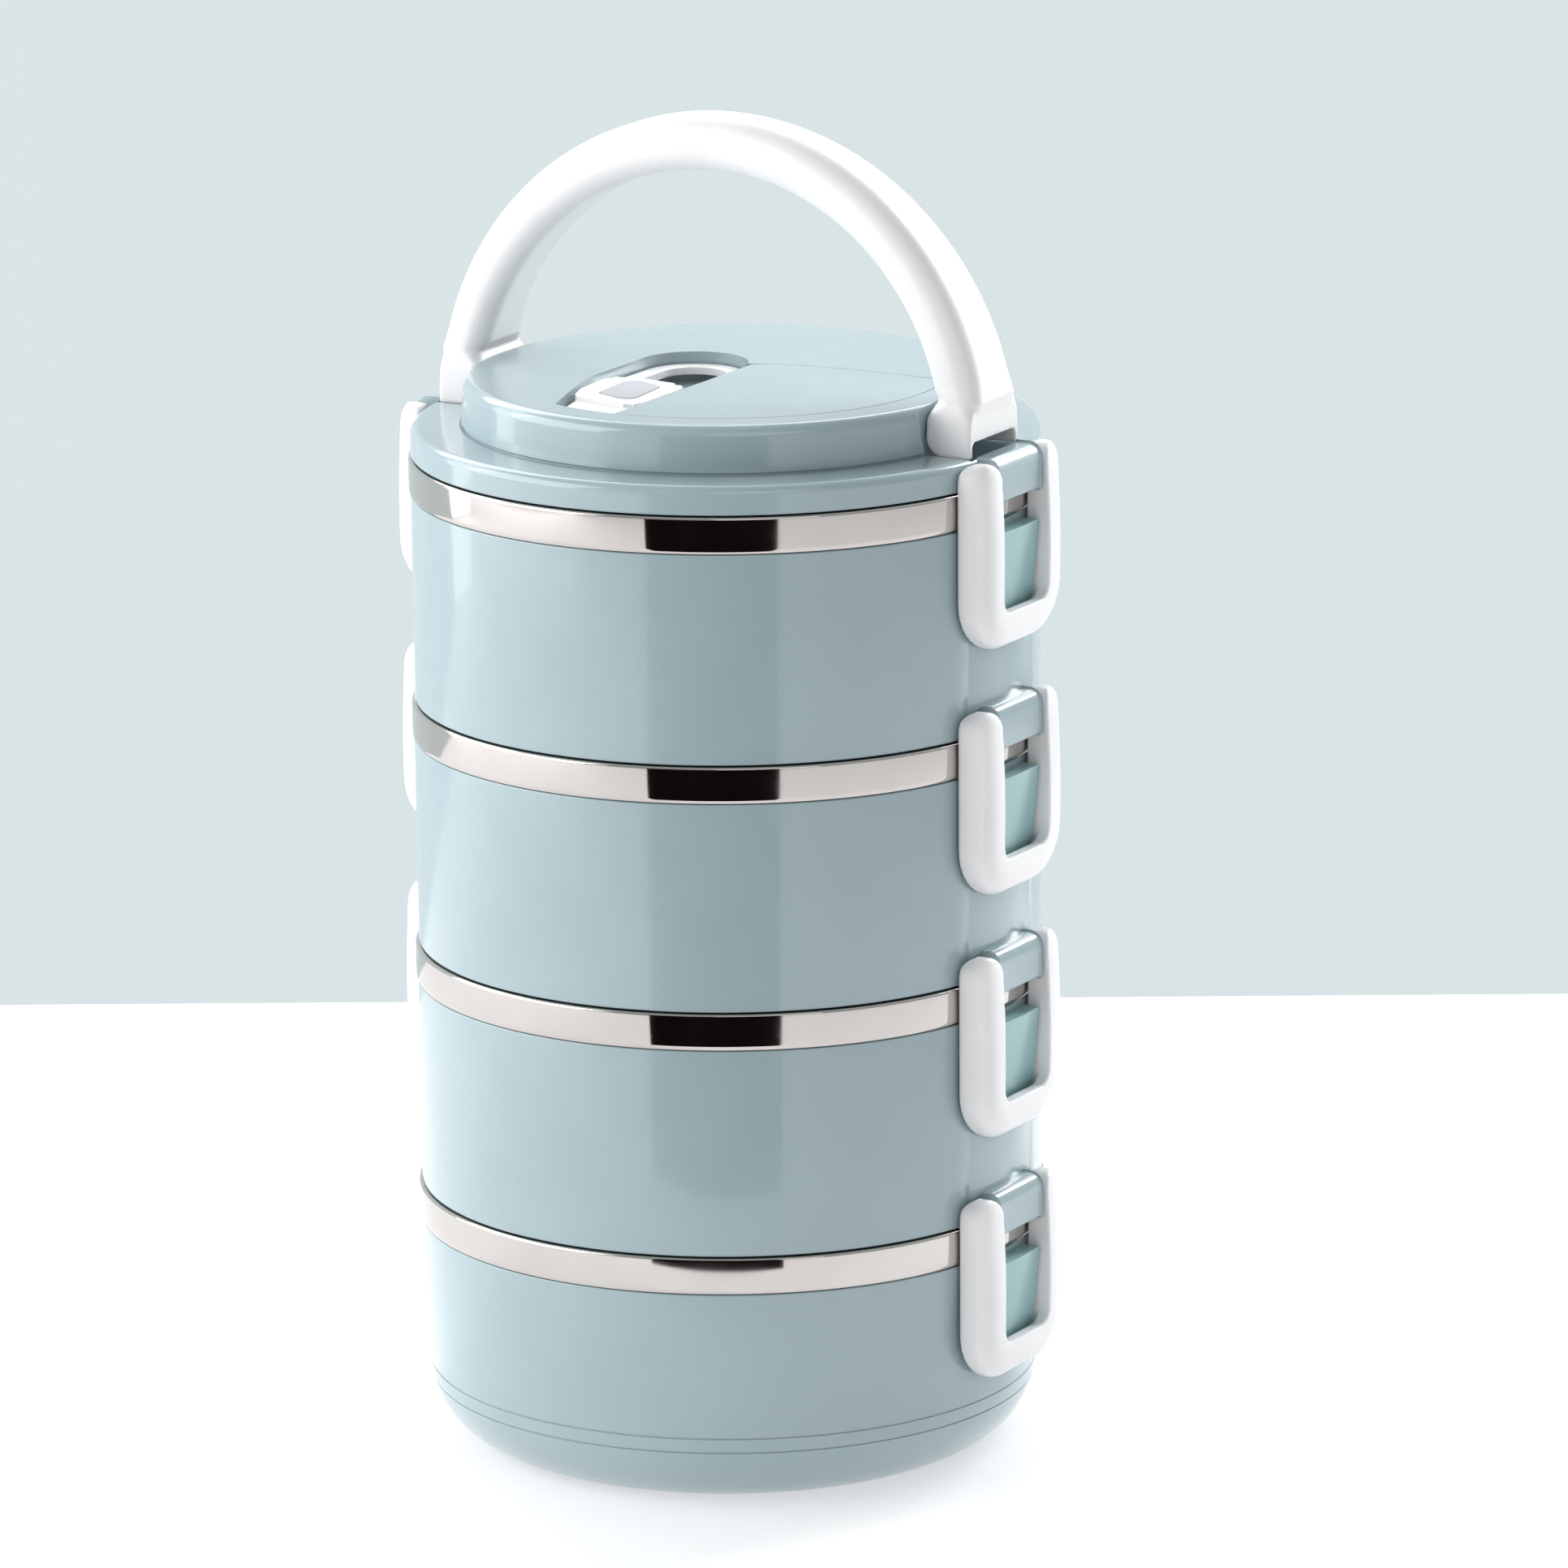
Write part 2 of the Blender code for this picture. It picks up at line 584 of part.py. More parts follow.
def arch_rings():
    """Sections of one half of the arch, from its leg up to the crown."""
    base = ARCH_BASE_ABOVE_RIM - HANDLE_PIVOT_ABOVE_RIM
    steps = 5
    rings = []
    for step in range(steps + 1):
        share = step / steps
        angle = math.radians(LEG_ANGLE + (90 - LEG_ANGLE) * share)
        half = LEG_HALF_WIDTH + (ARCH_HALF_WIDTH - LEG_HALF_WIDTH) * share
        shape = handle_section(ARCH_INNER + 0.8 * (1 - share), ARCH_OUTER, half, 3.4)
        rings.append([(r * math.cos(angle), y, base + r * math.sin(angle)) for r, y in shape])
    return rings


def handle():
    """Arch about the pivot axis, with wide feet that are open underneath, between two cheeks."""
    rings = foot_rings() + arch_rings()
    rings += [[(-x, y, z) for x, y, z in ring] for ring in reversed(rings[:-1])]
    shape = bmesh.new()
    loops = [[shape.verts.new(Vector(point) * MM) for point in ring] for ring in rings]
    for low, high in zip(loops, loops[1:]):
        for i in range(8):
            j = (i + 1) % 8
            shape.faces.new((low[i], low[j], high[j], high[i]))
    shape.faces.new(loops[0])
    shape.faces.new(reversed(loops[-1]))
    between_cheeks = rectangle(-CHEEK_INSIDE, -20, CHEEK_INSIDE, OPENING_TOP)
    openings = both_sides(prism(between_cheeks, 50, 80, along_x))
    bores = both_sides(prism(circle((0, 0), PIVOT_RADIUS + GAP, 12), 50, PIVOT_END + 0.4, along_x))
    return cut(to_mesh(shape), openings + bores)


def handle_pin():
    return prism(circle((0, 0), PIVOT_RADIUS, 12), PIVOT_START, PIVOT_END, along_x)


# Assembly

def add_tiers():
    add("tier_1_shell", base_shell(BASE_RIM), "shell_blue")
    add("tier_1_liner", base_liner(BASE_RIM), "polished_steel")
    for level in range(1, 4):
        below, rim = RIMS[level - 1], RIMS[level]
        name = f"tier_{level + 1}"
        add(f"{name}_shell", upper_shell(below, rim), "shell_blue")
        add(f"{name}_liner", upper_liner(below, rim), "polished_steel")
        add(f"{name}_seal", seal(below), "white_silicone")
    for level, rim in enumerate(RIMS):
        back = WALL_RADIUS + GAP
        lower = back - (1.0 if level == 0 else 0.1)
        for side, turn in SIDES:
            mesh = keeper(rim, back, lower)
            add(f"tier_{level + 1}_keeper_{side}", mesh, "keeper_teal", turn=turn)


def add_clips():
    clip_mesh = clip()
    pin_mesh = clip_pin()
    for rim, name in zip(RIMS, ("tier_2", "tier_3", "tier_4", "lid")):
        for side, turn in SIDES:
            reach = PIN_X * math.cos(turn)
            place = (reach, 0, rim + PIN_ABOVE_RIM)
            add(f"{name}_clip_{side}", clip_mesh, "white_plastic", place, turn)
            add(f"{name}_clip_pin_{side}", pin_mesh, "polished_steel", place, turn)


def add_lid():
    add("lid_shell", lid_shell(), "shell_blue")
    add("lid_inner_plate", lid_inner_plate(), "white_plastic")
    add("lid_seal", seal(LID_RIM), "white_silicone")
    cover = prism(cover_outline(GAP, WELL_RIGHT + 0.1), LID_TOP - COVER_THICKNESS, LID_TOP, along_z)
    add("compartment_cover", cover, "shell_blue")
    pivot = (0, 0, LID_RIM + HANDLE_PIVOT_ABOVE_RIM)
    add("handle", handle(), "white_plastic", pivot)
    for side, turn in SIDES:
        add(f"handle_pin_{side}", handle_pin(), "polished_steel", pivot, turn)
    axis = (0, LEVER_AXIS_Y, LID_TOP - LEVER_AXIS_BELOW_TOP)
    add("vent_lever", vent_lever(), "white_plastic", axis)
    pin = prism(circle((0, 0), 0.8, 8), -18.7, 1.7, along_x)
    add("vent_lever_pin", pin, "polished_steel", axis)
    top = LEVER_AXIS_BELOW_TOP
    add("vent_lever_inlay", prism(inlay_outline(), top - 0.8, top - 0.2, along_z), "grey_inlay", axis)
    add("vent_plug", vent_plug(), "white_silicone", axis)


clear_scene()
add_tiers()
add_clips()
add_lid()
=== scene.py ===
"""Looks of the tiffin carrier: fine shells, steel bowls, clips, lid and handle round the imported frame.

Lengths are in millimetres, and MM turns them into metres. +X points at the column of clips
on the right of the view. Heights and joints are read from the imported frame. The stage, the
lights and the camera are placed in metres.
"""

import json
import math

import bmesh
import bpy
from mathutils import Matrix, Vector


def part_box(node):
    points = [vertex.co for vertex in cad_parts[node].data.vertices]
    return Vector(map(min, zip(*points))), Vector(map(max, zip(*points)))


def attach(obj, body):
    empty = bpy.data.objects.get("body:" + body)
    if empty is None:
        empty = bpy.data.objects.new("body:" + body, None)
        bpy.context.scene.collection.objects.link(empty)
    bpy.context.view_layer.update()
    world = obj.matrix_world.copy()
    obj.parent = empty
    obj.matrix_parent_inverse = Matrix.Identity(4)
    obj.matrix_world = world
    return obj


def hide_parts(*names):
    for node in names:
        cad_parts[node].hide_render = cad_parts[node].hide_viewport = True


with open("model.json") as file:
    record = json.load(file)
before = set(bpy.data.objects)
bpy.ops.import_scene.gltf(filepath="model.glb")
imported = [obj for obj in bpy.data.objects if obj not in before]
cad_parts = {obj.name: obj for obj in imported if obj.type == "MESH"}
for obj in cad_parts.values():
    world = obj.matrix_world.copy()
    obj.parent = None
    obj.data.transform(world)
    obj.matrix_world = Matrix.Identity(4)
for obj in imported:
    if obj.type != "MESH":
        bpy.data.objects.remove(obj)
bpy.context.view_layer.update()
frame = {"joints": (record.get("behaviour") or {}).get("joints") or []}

MM = 0.001


def top_of(node):
    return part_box(node)[1].z / MM


def joint_place(name):
    joint = next(j for j in frame["joints"] if j["name"] == name)
    return [value / MM for value in joint["pos_m"]]


# Driving dimensions, read from the frame
RIMS = [top_of(f"tier_{level}_liner") for level in (1, 2, 3, 4)]
LID_RIM = RIMS[-1]
LID_TOP = top_of("compartment_cover")
BAND_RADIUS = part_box("tier_1_liner")[1].x / MM
PIN_X = joint_place("lid_clip_right_swing")[0]
HANDLE_PIVOT = joint_place("handle_swing")
LEVER_AXIS = joint_place("vent_lever_raise")

# Shells and bowls
WALL_RADIUS = BAND_RADIUS - 0.5
BAND_HEIGHT = 8.4
BAND_CROWN = 0.06           # how far the band's face bulges between its edges
BAND_TUCK = 1.3             # the shell's upper edge lies this far inside the band
SHELL_MOUTH = 70.2          # radius inside a shell's upper edge
SHELL_TOP_DROP = 1.1
GAP = 0.3
WALL = 2.0
STEEL = 0.7
BOWL_RADIUS = 68.2
PLUG_RADIUS = 65.6
PLUG_DEPTH = 6.0
FOOT_RADIUS = 52.9
FOOT_CORNER = 18.4
FOOT_GROOVES = (14.6, 18.1)  # heights of the two fine grooves round the base
LEDGE = LID_RIM + 7.1
DISC_RADIUS = 61.0
SHELL_SEGMENTS = 192
STEEL_SEGMENTS = 288

# Clips and keepers, with heights measured from the pin or from the band's top
PIN_ABOVE_RIM = 3.6
PIN_RADIUS = 0.9
PIN_REACH = 15.7
CLIP_HALF_WIDTH = 19.8
WINDOW_HALF_WIDTH = 10.6
CLIP_TOP = 3.4
WINDOW_BOTTOM = -32.1
HOOK_SHELF = -35.0
CLIP_BOTTOM = -41.0
CLIP_OUTER = 3.7
CLIP_BEND = 8.0             # radius of the bar's centre line at the lower corners
CLIP_BACK_RADIUS = 73.85
BEHIND_CLIP = -6.0          # a place past the clip's back face, for cutters
HOOK_FRONT = 1.3
HOOK_LIP = -1.6
CLIP_BELLY = 0.7
CLIP_CROWN_START = -1.0     # where the curve over the bar's outer side and front begins
CLIP_CROWN_POWER = 2.6      # how square that curve is, where 2 would be an ellipse
CLIP_WINDOW_EDGE = 0.8      # rounding of the window's front edge
CLIP_BACK_EDGE = 2.2
LUG_HALF_WIDTH = 10.1
LUG_FACE = 77.0
LUG_BARREL = 5.2
LUG_DROP = 3.2
LUG_ROOT = 71.0
LUG_STEP = 73.9             # where the lug turns down, outside the band
LUG_TOP = 7.1
LEG_RELIEF = 3.9
RELIEF_REACH = 21.0         # how far out across the lug the room for a clip's legs goes
BORE_REACH = 20.0
KEEPER_HALF_WIDTH = 10.2
KEEPER_RADIUS = 77.2
KEEPER_TOP = -10.2
KEEPER_BOTTOM = -30.5
KEEPER_TAPER = 7.0          # height over which the plate thins towards its lower edge
KEEPER_TAPER_SLOPE = 0.385
KEEPER_STRIPS = 24

# Handle, with heights measured from its pivot
ARCH_BASE = LID_RIM + 6.7 - HANDLE_PIVOT[2]
ARCH_INNER = 59.4
ARCH_OUTER = 72.2
ARCH_HALF_WIDTH = 7.6
ARCH_CORNER = 5.0
ARCH_START = 14             # degrees above level at which the bow takes over from the leg
ARCH_STEPS = 38
LEG_HALF_WIDTH = 10.8
LEG_INNER = 60.6
LEG_CLEARANCE = 1.3         # the bow's inside stands off this much more where it starts
PIVOT_RADIUS = 2.2
PIVOT_PIN_ENDS = (54.6, 66.2)
FOOT_HALF_WIDTH = 12.0
FOOT_INNER = 58.9
FOOT_OUTER = 70.3
FOOT_BOTTOM = -7.5
CHEEK_INSIDE = 10.2         # half the opening under the foot, between its two cheeks
OPENING_TOP = -3.9
FOOT_TOE = 4.2
POCKET_RADIUS = 14.6
POCKET_FACE = 58.4
POCKET_OUTER = 71.2

# Vent lever and compartment, seen from above
WELL_LEFT = -25.7
WELL_END = (-12.85, 7.4)
WELL_DEPTH = 6.4
WELL_FRONT_ANGLE = 250.8    # degrees round the lid to the well's front left corner
FEATURE_RADIUS = 51.5
VENT = (-12.9, -25.0)
COVER_THICKNESS = 1.8
COMPARTMENT_DEPTH = 11.2
COMPARTMENT_INSET = 3.2     # the step that the cover rests on
LEVER_BORE = 1.1
LEVER_PIN_RADIUS = 0.8
LEVER_PIN_ENDS = (-18.7, 1.7)
INLAY_CORNERS = ((-16.6, 33.2), (-15.6, 16.4), (-4.8, 12.0), (-6.4, 28.4))
INLAY_ROUNDING = 2.4
INLAY_HALF_WIDTH = 6.5

# Camera and stage, in metres
CAMERA_PLACE = (1.1489, -2.0060, 0.7239)
CAMERA_HEADING = math.radians(29.483)
CAMERA_TILT = math.radians(13.819)
CAMERA_ROLL = math.radians(-0.406)
LENS = 234.63               # focal length in millimetres
SENSOR_WIDTH = 36
BACKDROP_DISTANCE = 0.385   # behind the stack
STAGE_REACH = 8.0
BACKDROP_HEIGHT = 5.0

# sRGB colours of the finishes and the stage
SHELL_BLUE = (0.600, 0.672, 0.690)
KEEPER_TEAL = (0.565, 0.700, 0.708)
WHITE = (0.900, 0.894, 0.896)
SILICONE = (0.900, 0.905, 0.910)
INLAY_GREY = (0.700, 0.710, 0.730)
STEEL_DARK = (0.78, 0.755, 0.74)
STEEL_LIGHT = (0.82, 0.80, 0.785)
BACKDROP_BLUE = (0.852, 0.892, 0.902)
FLOOR_WHITE = (0.97, 0.97, 0.975)
STUDIO_GREY = (0.93, 0.945, 0.95)
CARD_BLACK = (0.003, 0.002, 0.002, 1.0)

# Shading
SHARP_ANGLE = math.radians(32)
FLAT_TOPPED = ("lid_shell", "compartment_cover", "lid_inner_plate")  # large flat faces beside rounded edges


# Geometry tools

def to_mesh(shape):
    bmesh.ops.recalc_face_normals(shape, faces=shape.faces)
    mesh = bpy.data.meshes.new("shape")
    shape.to_mesh(mesh)
    shape.free()
    return mesh


def arc(centre, radius, start, end, steps):
    """Points of an arc from start to end, in degrees, both ends included."""
    angles = [math.radians(start + (end - start) * i / steps) for i in range(steps + 1)]
    return [(centre[0] + radius * math.cos(a), centre[1] + radius * math.sin(a)) for a in angles]


def circle(centre, radius, count):
    return arc(centre, radius, 0, 360, count)[:-1]


def rectangle(left, bottom, right, top):
    return [(left, bottom), (right, bottom), (right, top), (left, top)]


def rounded_corner(before, here, after, radius, step):
    """Arc of a radius that meets both sides of the corner at here, or a smaller one that fits."""
    to_before, to_after = before - here, after - here
    half = to_before.angle(to_after) / 2
    turn = math.pi - 2 * half
    if turn < 0.01:
        return [tuple(here)]
    reach = min(radius / math.tan(half), 0.49 * to_before.length, 0.49 * to_after.length)
    middle = (to_before.normalized() + to_after.normalized()).normalized()
    centre = here + middle * (reach / math.cos(half))
    first = here + to_before.normalized() * reach - centre
    last = here + to_after.normalized() * reach - centre
    steps = max(2, math.ceil(math.degrees(turn) / step))
    points = []
    for i in range(steps + 1):
        share = i / steps
        spoke = first * math.sin((1 - share) * turn) + last * math.sin(share * turn)
        points.append(tuple(centre + spoke / math.sin(turn)))
    return points


def fillet(corners, closed=True, step=12):
    """Outline through corners, each (a, b) or (a, b, radius), with those radii rounded."""
    points = []
    count = len(corners)
    for i, corner in enumerate(corners):
        at_end = not closed and i in (0, count - 1)
        if at_end or len(corner) == 2:
            points.append(tuple(corner[:2]))
            continue
        before, after = corners[i - 1], corners[(i + 1) % count]
        sides = [Vector(point[:2]) for point in (before, corner, after)]
        points += rounded_corner(*sides, corner[2], step)
    return points


def lathe(profile, segments=SHELL_SEGMENTS):
    """Solid of revolution about Z. profile is (radius, height), closed or ending on the axis."""
    shape = bmesh.new()
    rings = []
    for radius, height in profile:
        count = 1 if radius < 1e-6 else segments
        ring = []
        for i in range(count):
            angle = math.tau * i / count
            place = Vector((radius * math.cos(angle), radius * math.sin(angle), height))
            ring.append(shape.verts.new(place * MM))
        rings.append(ring)
    pairs = list(zip(rings, rings[1:]))
    if profile[0][0] > 0:
        pairs.append((rings[-1], rings[0]))
    for low, high in pairs:
        for i in range(segments):
            j = (i + 1) % segments
            corners = [low[i % len(low)], low[j % len(low)], high[j % len(high)], high[i % len(high)]]
            shape.faces.new(dict.fromkeys(corners))
    return to_mesh(shape)


def prism(outline, near, far, place, near_edge=0.0, far_edge=0.0, steps=4):
    """Solid between two copies of an outline, whose near and far rims may be rounded."""
    shape = bmesh.new()
    ends = [[shape.verts.new(Vector(place(a, b, t)) * MM) for a, b in outline] for t in (near, far)]
    shape.faces.new(ends[0])
    shape.faces.new(reversed(ends[1]))
    count = len(outline)
    for i in range(count):
        j = (i + 1) % count
        shape.faces.new((ends[0][i], ends[0][j], ends[1][j], ends[1][i]))
    for verts, width in ((ends[0], near_edge), (ends[1], far_edge)):
        if width:
            chosen = set(verts)
            edges = [e for e in shape.edges if set(e.verts) <= chosen]
            bmesh.ops.bevel(
                shape, geom=edges, offset=width * MM, segments=steps, profile=0.5, affect="EDGES",
            )
    return to_mesh(shape)


def along_x(a, b, t):
    return (t, a, b)


def along_y(a, b, t):
    return (a, t, b)


def along_z(a, b, t):
    return (a, b, t)


def loft(rings):
    """Closed skin over rings of points that all have the same count."""
    shape = bmesh.new()
    loops = [[shape.verts.new(Vector(point) * MM) for point in ring] for ring in rings]
    count = len(rings[0])
    for low, high in zip(loops, loops[1:]):
        for i in range(count):
            j = (i + 1) % count
            shape.faces.new((low[i], low[j], high[j], high[i]))
    shape.faces.new(loops[0])
    shape.faces.new(reversed(loops[-1]))
    return to_mesh(shape)


def evaluated(mesh, *settings):
    """mesh after modifiers, each given as (type, {setting: value}), on a helper that is then removed."""
    helper = bpy.data.objects.new("helper", mesh)
    bpy.context.scene.collection.objects.link(helper)
    for kind, values in settings:
        modifier = helper.modifiers.new(kind.title(), kind)
        for key, value in values.items():
            setattr(modifier, key, value)
    graph = bpy.context.evaluated_depsgraph_get()
    result = bpy.data.meshes.new_from_object(helper.evaluated_get(graph))
    bpy.data.objects.remove(helper, do_unlink=True)
    return result


def combine(mesh, tools, operation):
    """mesh after one exact Boolean with each of the tool meshes."""
    helpers = []
    for tool in tools:
        helper = bpy.data.objects.new("tool", tool)
        bpy.context.scene.collection.objects.link(helper)
        helpers.append(helper)
    steps = [("BOOLEAN", {"operation": operation, "object": helper}) for helper in helpers]
    result = evaluated(mesh, *steps)
    for helper in helpers:
        bpy.data.objects.remove(helper, do_unlink=True)
    return result


def join(mesh, tools):
    return combine(mesh, tools, "UNION")


def cut(mesh, tools):
    return combine(mesh, tools, "DIFFERENCE")


def moulded(mesh, voxel, passes):
    """mesh with every edge and inner corner softened, as on a moulded plastic piece."""
    return evaluated(
        mesh,
        ("REMESH", {"mode": "VOXEL", "voxel_size": voxel * MM, "adaptivity": 0.0}),
        ("SMOOTH", {"factor": 0.5, "iterations": passes}),
    )


def soften(mesh, test, width):
    """Rounds the sharp edges of mesh whose two ends pass test, which takes a place in millimetres."""
    shape = bmesh.new()
    shape.from_mesh(mesh)
    least = math.radians(40)
    edges = [
        e for e in shape.edges
        if len(e.link_faces) == 2 and e.calc_face_angle(0) > least and all(test(v.co / MM) for v in e.verts)
    ]
    bmesh.ops.bevel(
        shape, geom=edges, offset=width * MM, segments=3, profile=0.5, affect="EDGES", clamp_overlap=True,
    )
    return to_mesh(shape)


def both_sides(mesh):
    """mesh and its copy half a turn round the stack."""
    copy = mesh.copy()
    copy.transform(Matrix.Rotation(math.pi, 4, "Z"))
    return [mesh, copy]


# Materials

def linear(colour):
    """An sRGB colour as the shader takes it."""
    return (*(((c + 0.055) / 1.055) ** 2.4 if c > 0.04045 else c / 12.92 for c in colour), 1.0)


def scaled(colour, factor):
    return tuple(min(1.0, c * factor) for c in colour)


class Nodes:
    """A new material's node tree, with short calls that add and link nodes."""

    def __init__(self, name):
        self.material = bpy.data.materials.new(name)
        self.material.use_nodes = True
        self.tree = self.material.node_tree
        self.shader = self.tree.nodes["Principled BSDF"]
        self.place = self.add("ShaderNodeTexCoord").outputs["Object"]

    def add(self, kind, links=(), **settings):
        node = self.tree.nodes.new(kind)
        for key, value in settings.items():
            setattr(node, key, value)
        for socket, source in dict(links).items():
            if isinstance(source, bpy.types.NodeSocket):
                self.tree.links.new(source, node.inputs[socket])
            else:
                node.inputs[socket].default_value = source
        return node

    def noise(self, scale, detail=3.0, roughness=0.5, stretch=None, turn=(0, 0, 0), vector=None):
        place = vector or self.place
        if stretch:
            place = self.add(
                "ShaderNodeMapping", {"Vector": place, "Scale": stretch, "Rotation": turn}
            ).outputs[0]
        links = {"Vector": place, "Scale": scale, "Detail": detail, "Roughness": roughness}
        return self.add("ShaderNodeTexNoise", links).outputs["Fac"]

    def spread(self, value, low, high, start=0.0, end=1.0):
        """value from low..high mapped to start..end, and held there beyond them."""
        links = {"Value": value, "From Min": low, "From Max": high, "To Min": start, "To Max": end}
        return self.add("ShaderNodeMapRange", links).outputs[0]

    def sums(self, *values):
        total = values[0]
        for value in values[1:]:
            total = self.add("ShaderNodeMath", {0: total, 1: value}, operation="ADD").outputs[0]
        return total

    def blend(self, share, low, high):
        links = {"Factor": share, 6: low, 7: high}
        return self.add("ShaderNodeMix", links, data_type="RGBA").outputs[2]

    def bump(self, height, strength, distance, under=None):
        """Bumps of a height in millimetres, on top of the normal under them if there is one."""
        links = {"Height": height, "Strength": strength, "Distance": distance * MM}
        if under is not None:
            links["Normal"] = under
        return self.add("ShaderNodeBump", links).outputs[0]

    def finish(self, **sockets):
        for name, source in sockets.items():
            socket = self.shader.inputs[name.replace("_", " ")]
            if isinstance(source, bpy.types.NodeSocket):
                self.tree.links.new(source, socket)
            else:
                socket.default_value = source
        return self.material


def plastic(name, colour, roughness, coat, grain):
    """Moulded plastic: cloudy pigment, a little flow and grain, and fine hairlines."""
    made = Nodes(name)
    cloud = made.spread(made.noise(14, 4, 0.6), 0.3, 0.7)
    body = made.blend(cloud, linear(scaled(colour, 0.975)), linear(scaled(colour, 1.02)))
    hairs = made.noise(1, 2, 0.5, stretch=(60, 420, 2600), turn=(0.5, 0.3, 0.9))
    marks = made.spread(hairs, 0.62, 0.8, 0.0, 0.03)
    patches = made.spread(made.noise(55, 5, 0.6), 0.3, 0.7, roughness - 0.03, roughness + 0.04)
    flow = made.noise(38, 2, 0.4)
    texture = made.noise(grain, 3, 0.6)
    skin = made.bump(texture, 0.35, 0.006, made.bump(flow, 0.25, 0.05))
    return made.finish(
        Base_Color=body, Roughness=made.sums(patches, marks), Normal=skin, IOR=1.5,
        Coat_Weight=coat, Coat_Roughness=0.06,
    )


def steel(name):
    """Mirror-polished steel with turned polishing rings and faint hazy patches."""
    made = Nodes(name)
    split = made.add("ShaderNodeSeparateXYZ", {0: made.place})
    flat = made.add("ShaderNodeCombineXYZ", {0: split.outputs[0], 1: split.outputs[1]}).outputs[0]
    radius = made.add("ShaderNodeVectorMath", {0: flat}, operation="LENGTH").outputs["Value"]
    rings = made.add("ShaderNodeCombineXYZ", {0: radius, 2: split.outputs[2]}).outputs[0]
    turning = made.noise(2600, 3, 0.7, vector=rings)
    haze = made.spread(made.noise(60, 4, 0.6), 0.35, 0.75, 0.035, 0.085)
    lines = made.spread(turning, 0.4, 0.8, 0.0, 0.05)
    tone = made.spread(made.noise(25, 3, 0.5), 0.3, 0.7)
    colour = made.blend(tone, linear(STEEL_DARK), linear(STEEL_LIGHT))
    return made.finish(
        Base_Color=colour, Metallic=1.0, Roughness=made.sums(haze, lines),
        Normal=made.bump(turning, 0.12, 0.004),
    )


def silicone(name):
    """Soft translucent-looking rubber with a matt bloom."""
    made = Nodes(name)
    cloud = made.spread(made.noise(30, 4, 0.6), 0.3, 0.7)
    body = made.blend(cloud, linear(scaled(SILICONE, 0.96)), linear(scaled(SILICONE, 1.02)))
    bloom = made.spread(made.noise(180, 5, 0.65), 0.3, 0.7, 0.5, 0.68)
    return made.finish(
        Base_Color=body, Roughness=bloom, Normal=made.bump(made.noise(900, 4, 0.6), 0.4, 0.01),
        Sheen_Weight=0.15, Sheen_Roughness=0.5,
    )


FINISHES = {
    "shell_blue": plastic("glossy_blue_plastic", SHELL_BLUE, roughness=0.2, coat=0.6, grain=1500),
    "keeper_teal": plastic("teal_plastic", KEEPER_TEAL, roughness=0.34, coat=0.1, grain=1300),
    "white_plastic": plastic("white_plastic", WHITE, roughness=0.36, coat=0.12, grain=1100),
    "polished_steel": steel("polished_steel"),
    "white_silicone": silicone("white_silicone"),
    "grey_inlay": plastic("grey_inlay", INLAY_GREY, roughness=0.5, coat=0.0, grain=700),
}


def piece(node, mesh, finish, body, place=(0, 0, 0), turn=0.0):
    """A fine piece in the place of a CAD node, riding on that node's body."""
    obj = bpy.data.objects.new(f"fine_{node}", mesh)
    bpy.context.scene.collection.objects.link(obj)
    obj.location = Vector(place) * MM
    obj.rotation_euler.z = turn
    if not mesh.materials or mesh.materials[0] is None:
        mesh.materials.clear()
        mesh.materials.append(FINISHES[finish])
        mesh.shade_smooth()
        mesh.set_sharp_from_angle(angle=SHARP_ANGLE)
        if node in FLAT_TOPPED:
            obj.data = evaluated(mesh, ("WEIGHTED_NORMAL", {"keep_sharp": True, "weight": 60}))
    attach(obj, body)
    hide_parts(node)
    return obj


# Shells

def hinge_lug(rim):
    """Block that a clip hangs from, rounded where it turns down from the shell's wall."""
    outline = fillet([
        (LUG_ROOT, rim + 0.6), (LUG_STEP, rim + 0.6), (LUG_STEP, rim - LUG_DROP, 0.3),
        (LUG_FACE, rim - LUG_DROP, 0.9), (LUG_FACE, rim + LUG_TOP, LUG_BARREL), (LUG_ROOT, rim + LUG_TOP),
    ])
    return prism(outline, -LUG_HALF_WIDTH, LUG_HALF_WIDTH, along_y, 0.5, 0.5)


def lug_cuts(rim):
    """Pin bore through a lug, and room beside it for the clip legs' rounded ends."""
    pin = (PIN_X, rim + PIN_ABOVE_RIM)
    beside = LUG_HALF_WIDTH + 0.1
    cuts = [prism(circle(pin, PIN_RADIUS + GAP, 24), -BORE_REACH, BORE_REACH, along_y)]
    for near, far in ((beside, RELIEF_REACH), (-RELIEF_REACH, -beside)):
        cuts.append(prism(circle(pin, LEG_RELIEF, 64), near, far, along_y))
    return cuts


def with_lugs(mesh, rim):
    cuts = [tool for one in lug_cuts(rim) for tool in both_sides(one)]
    return cut(join(mesh, both_sides(hinge_lug(rim))), cuts)


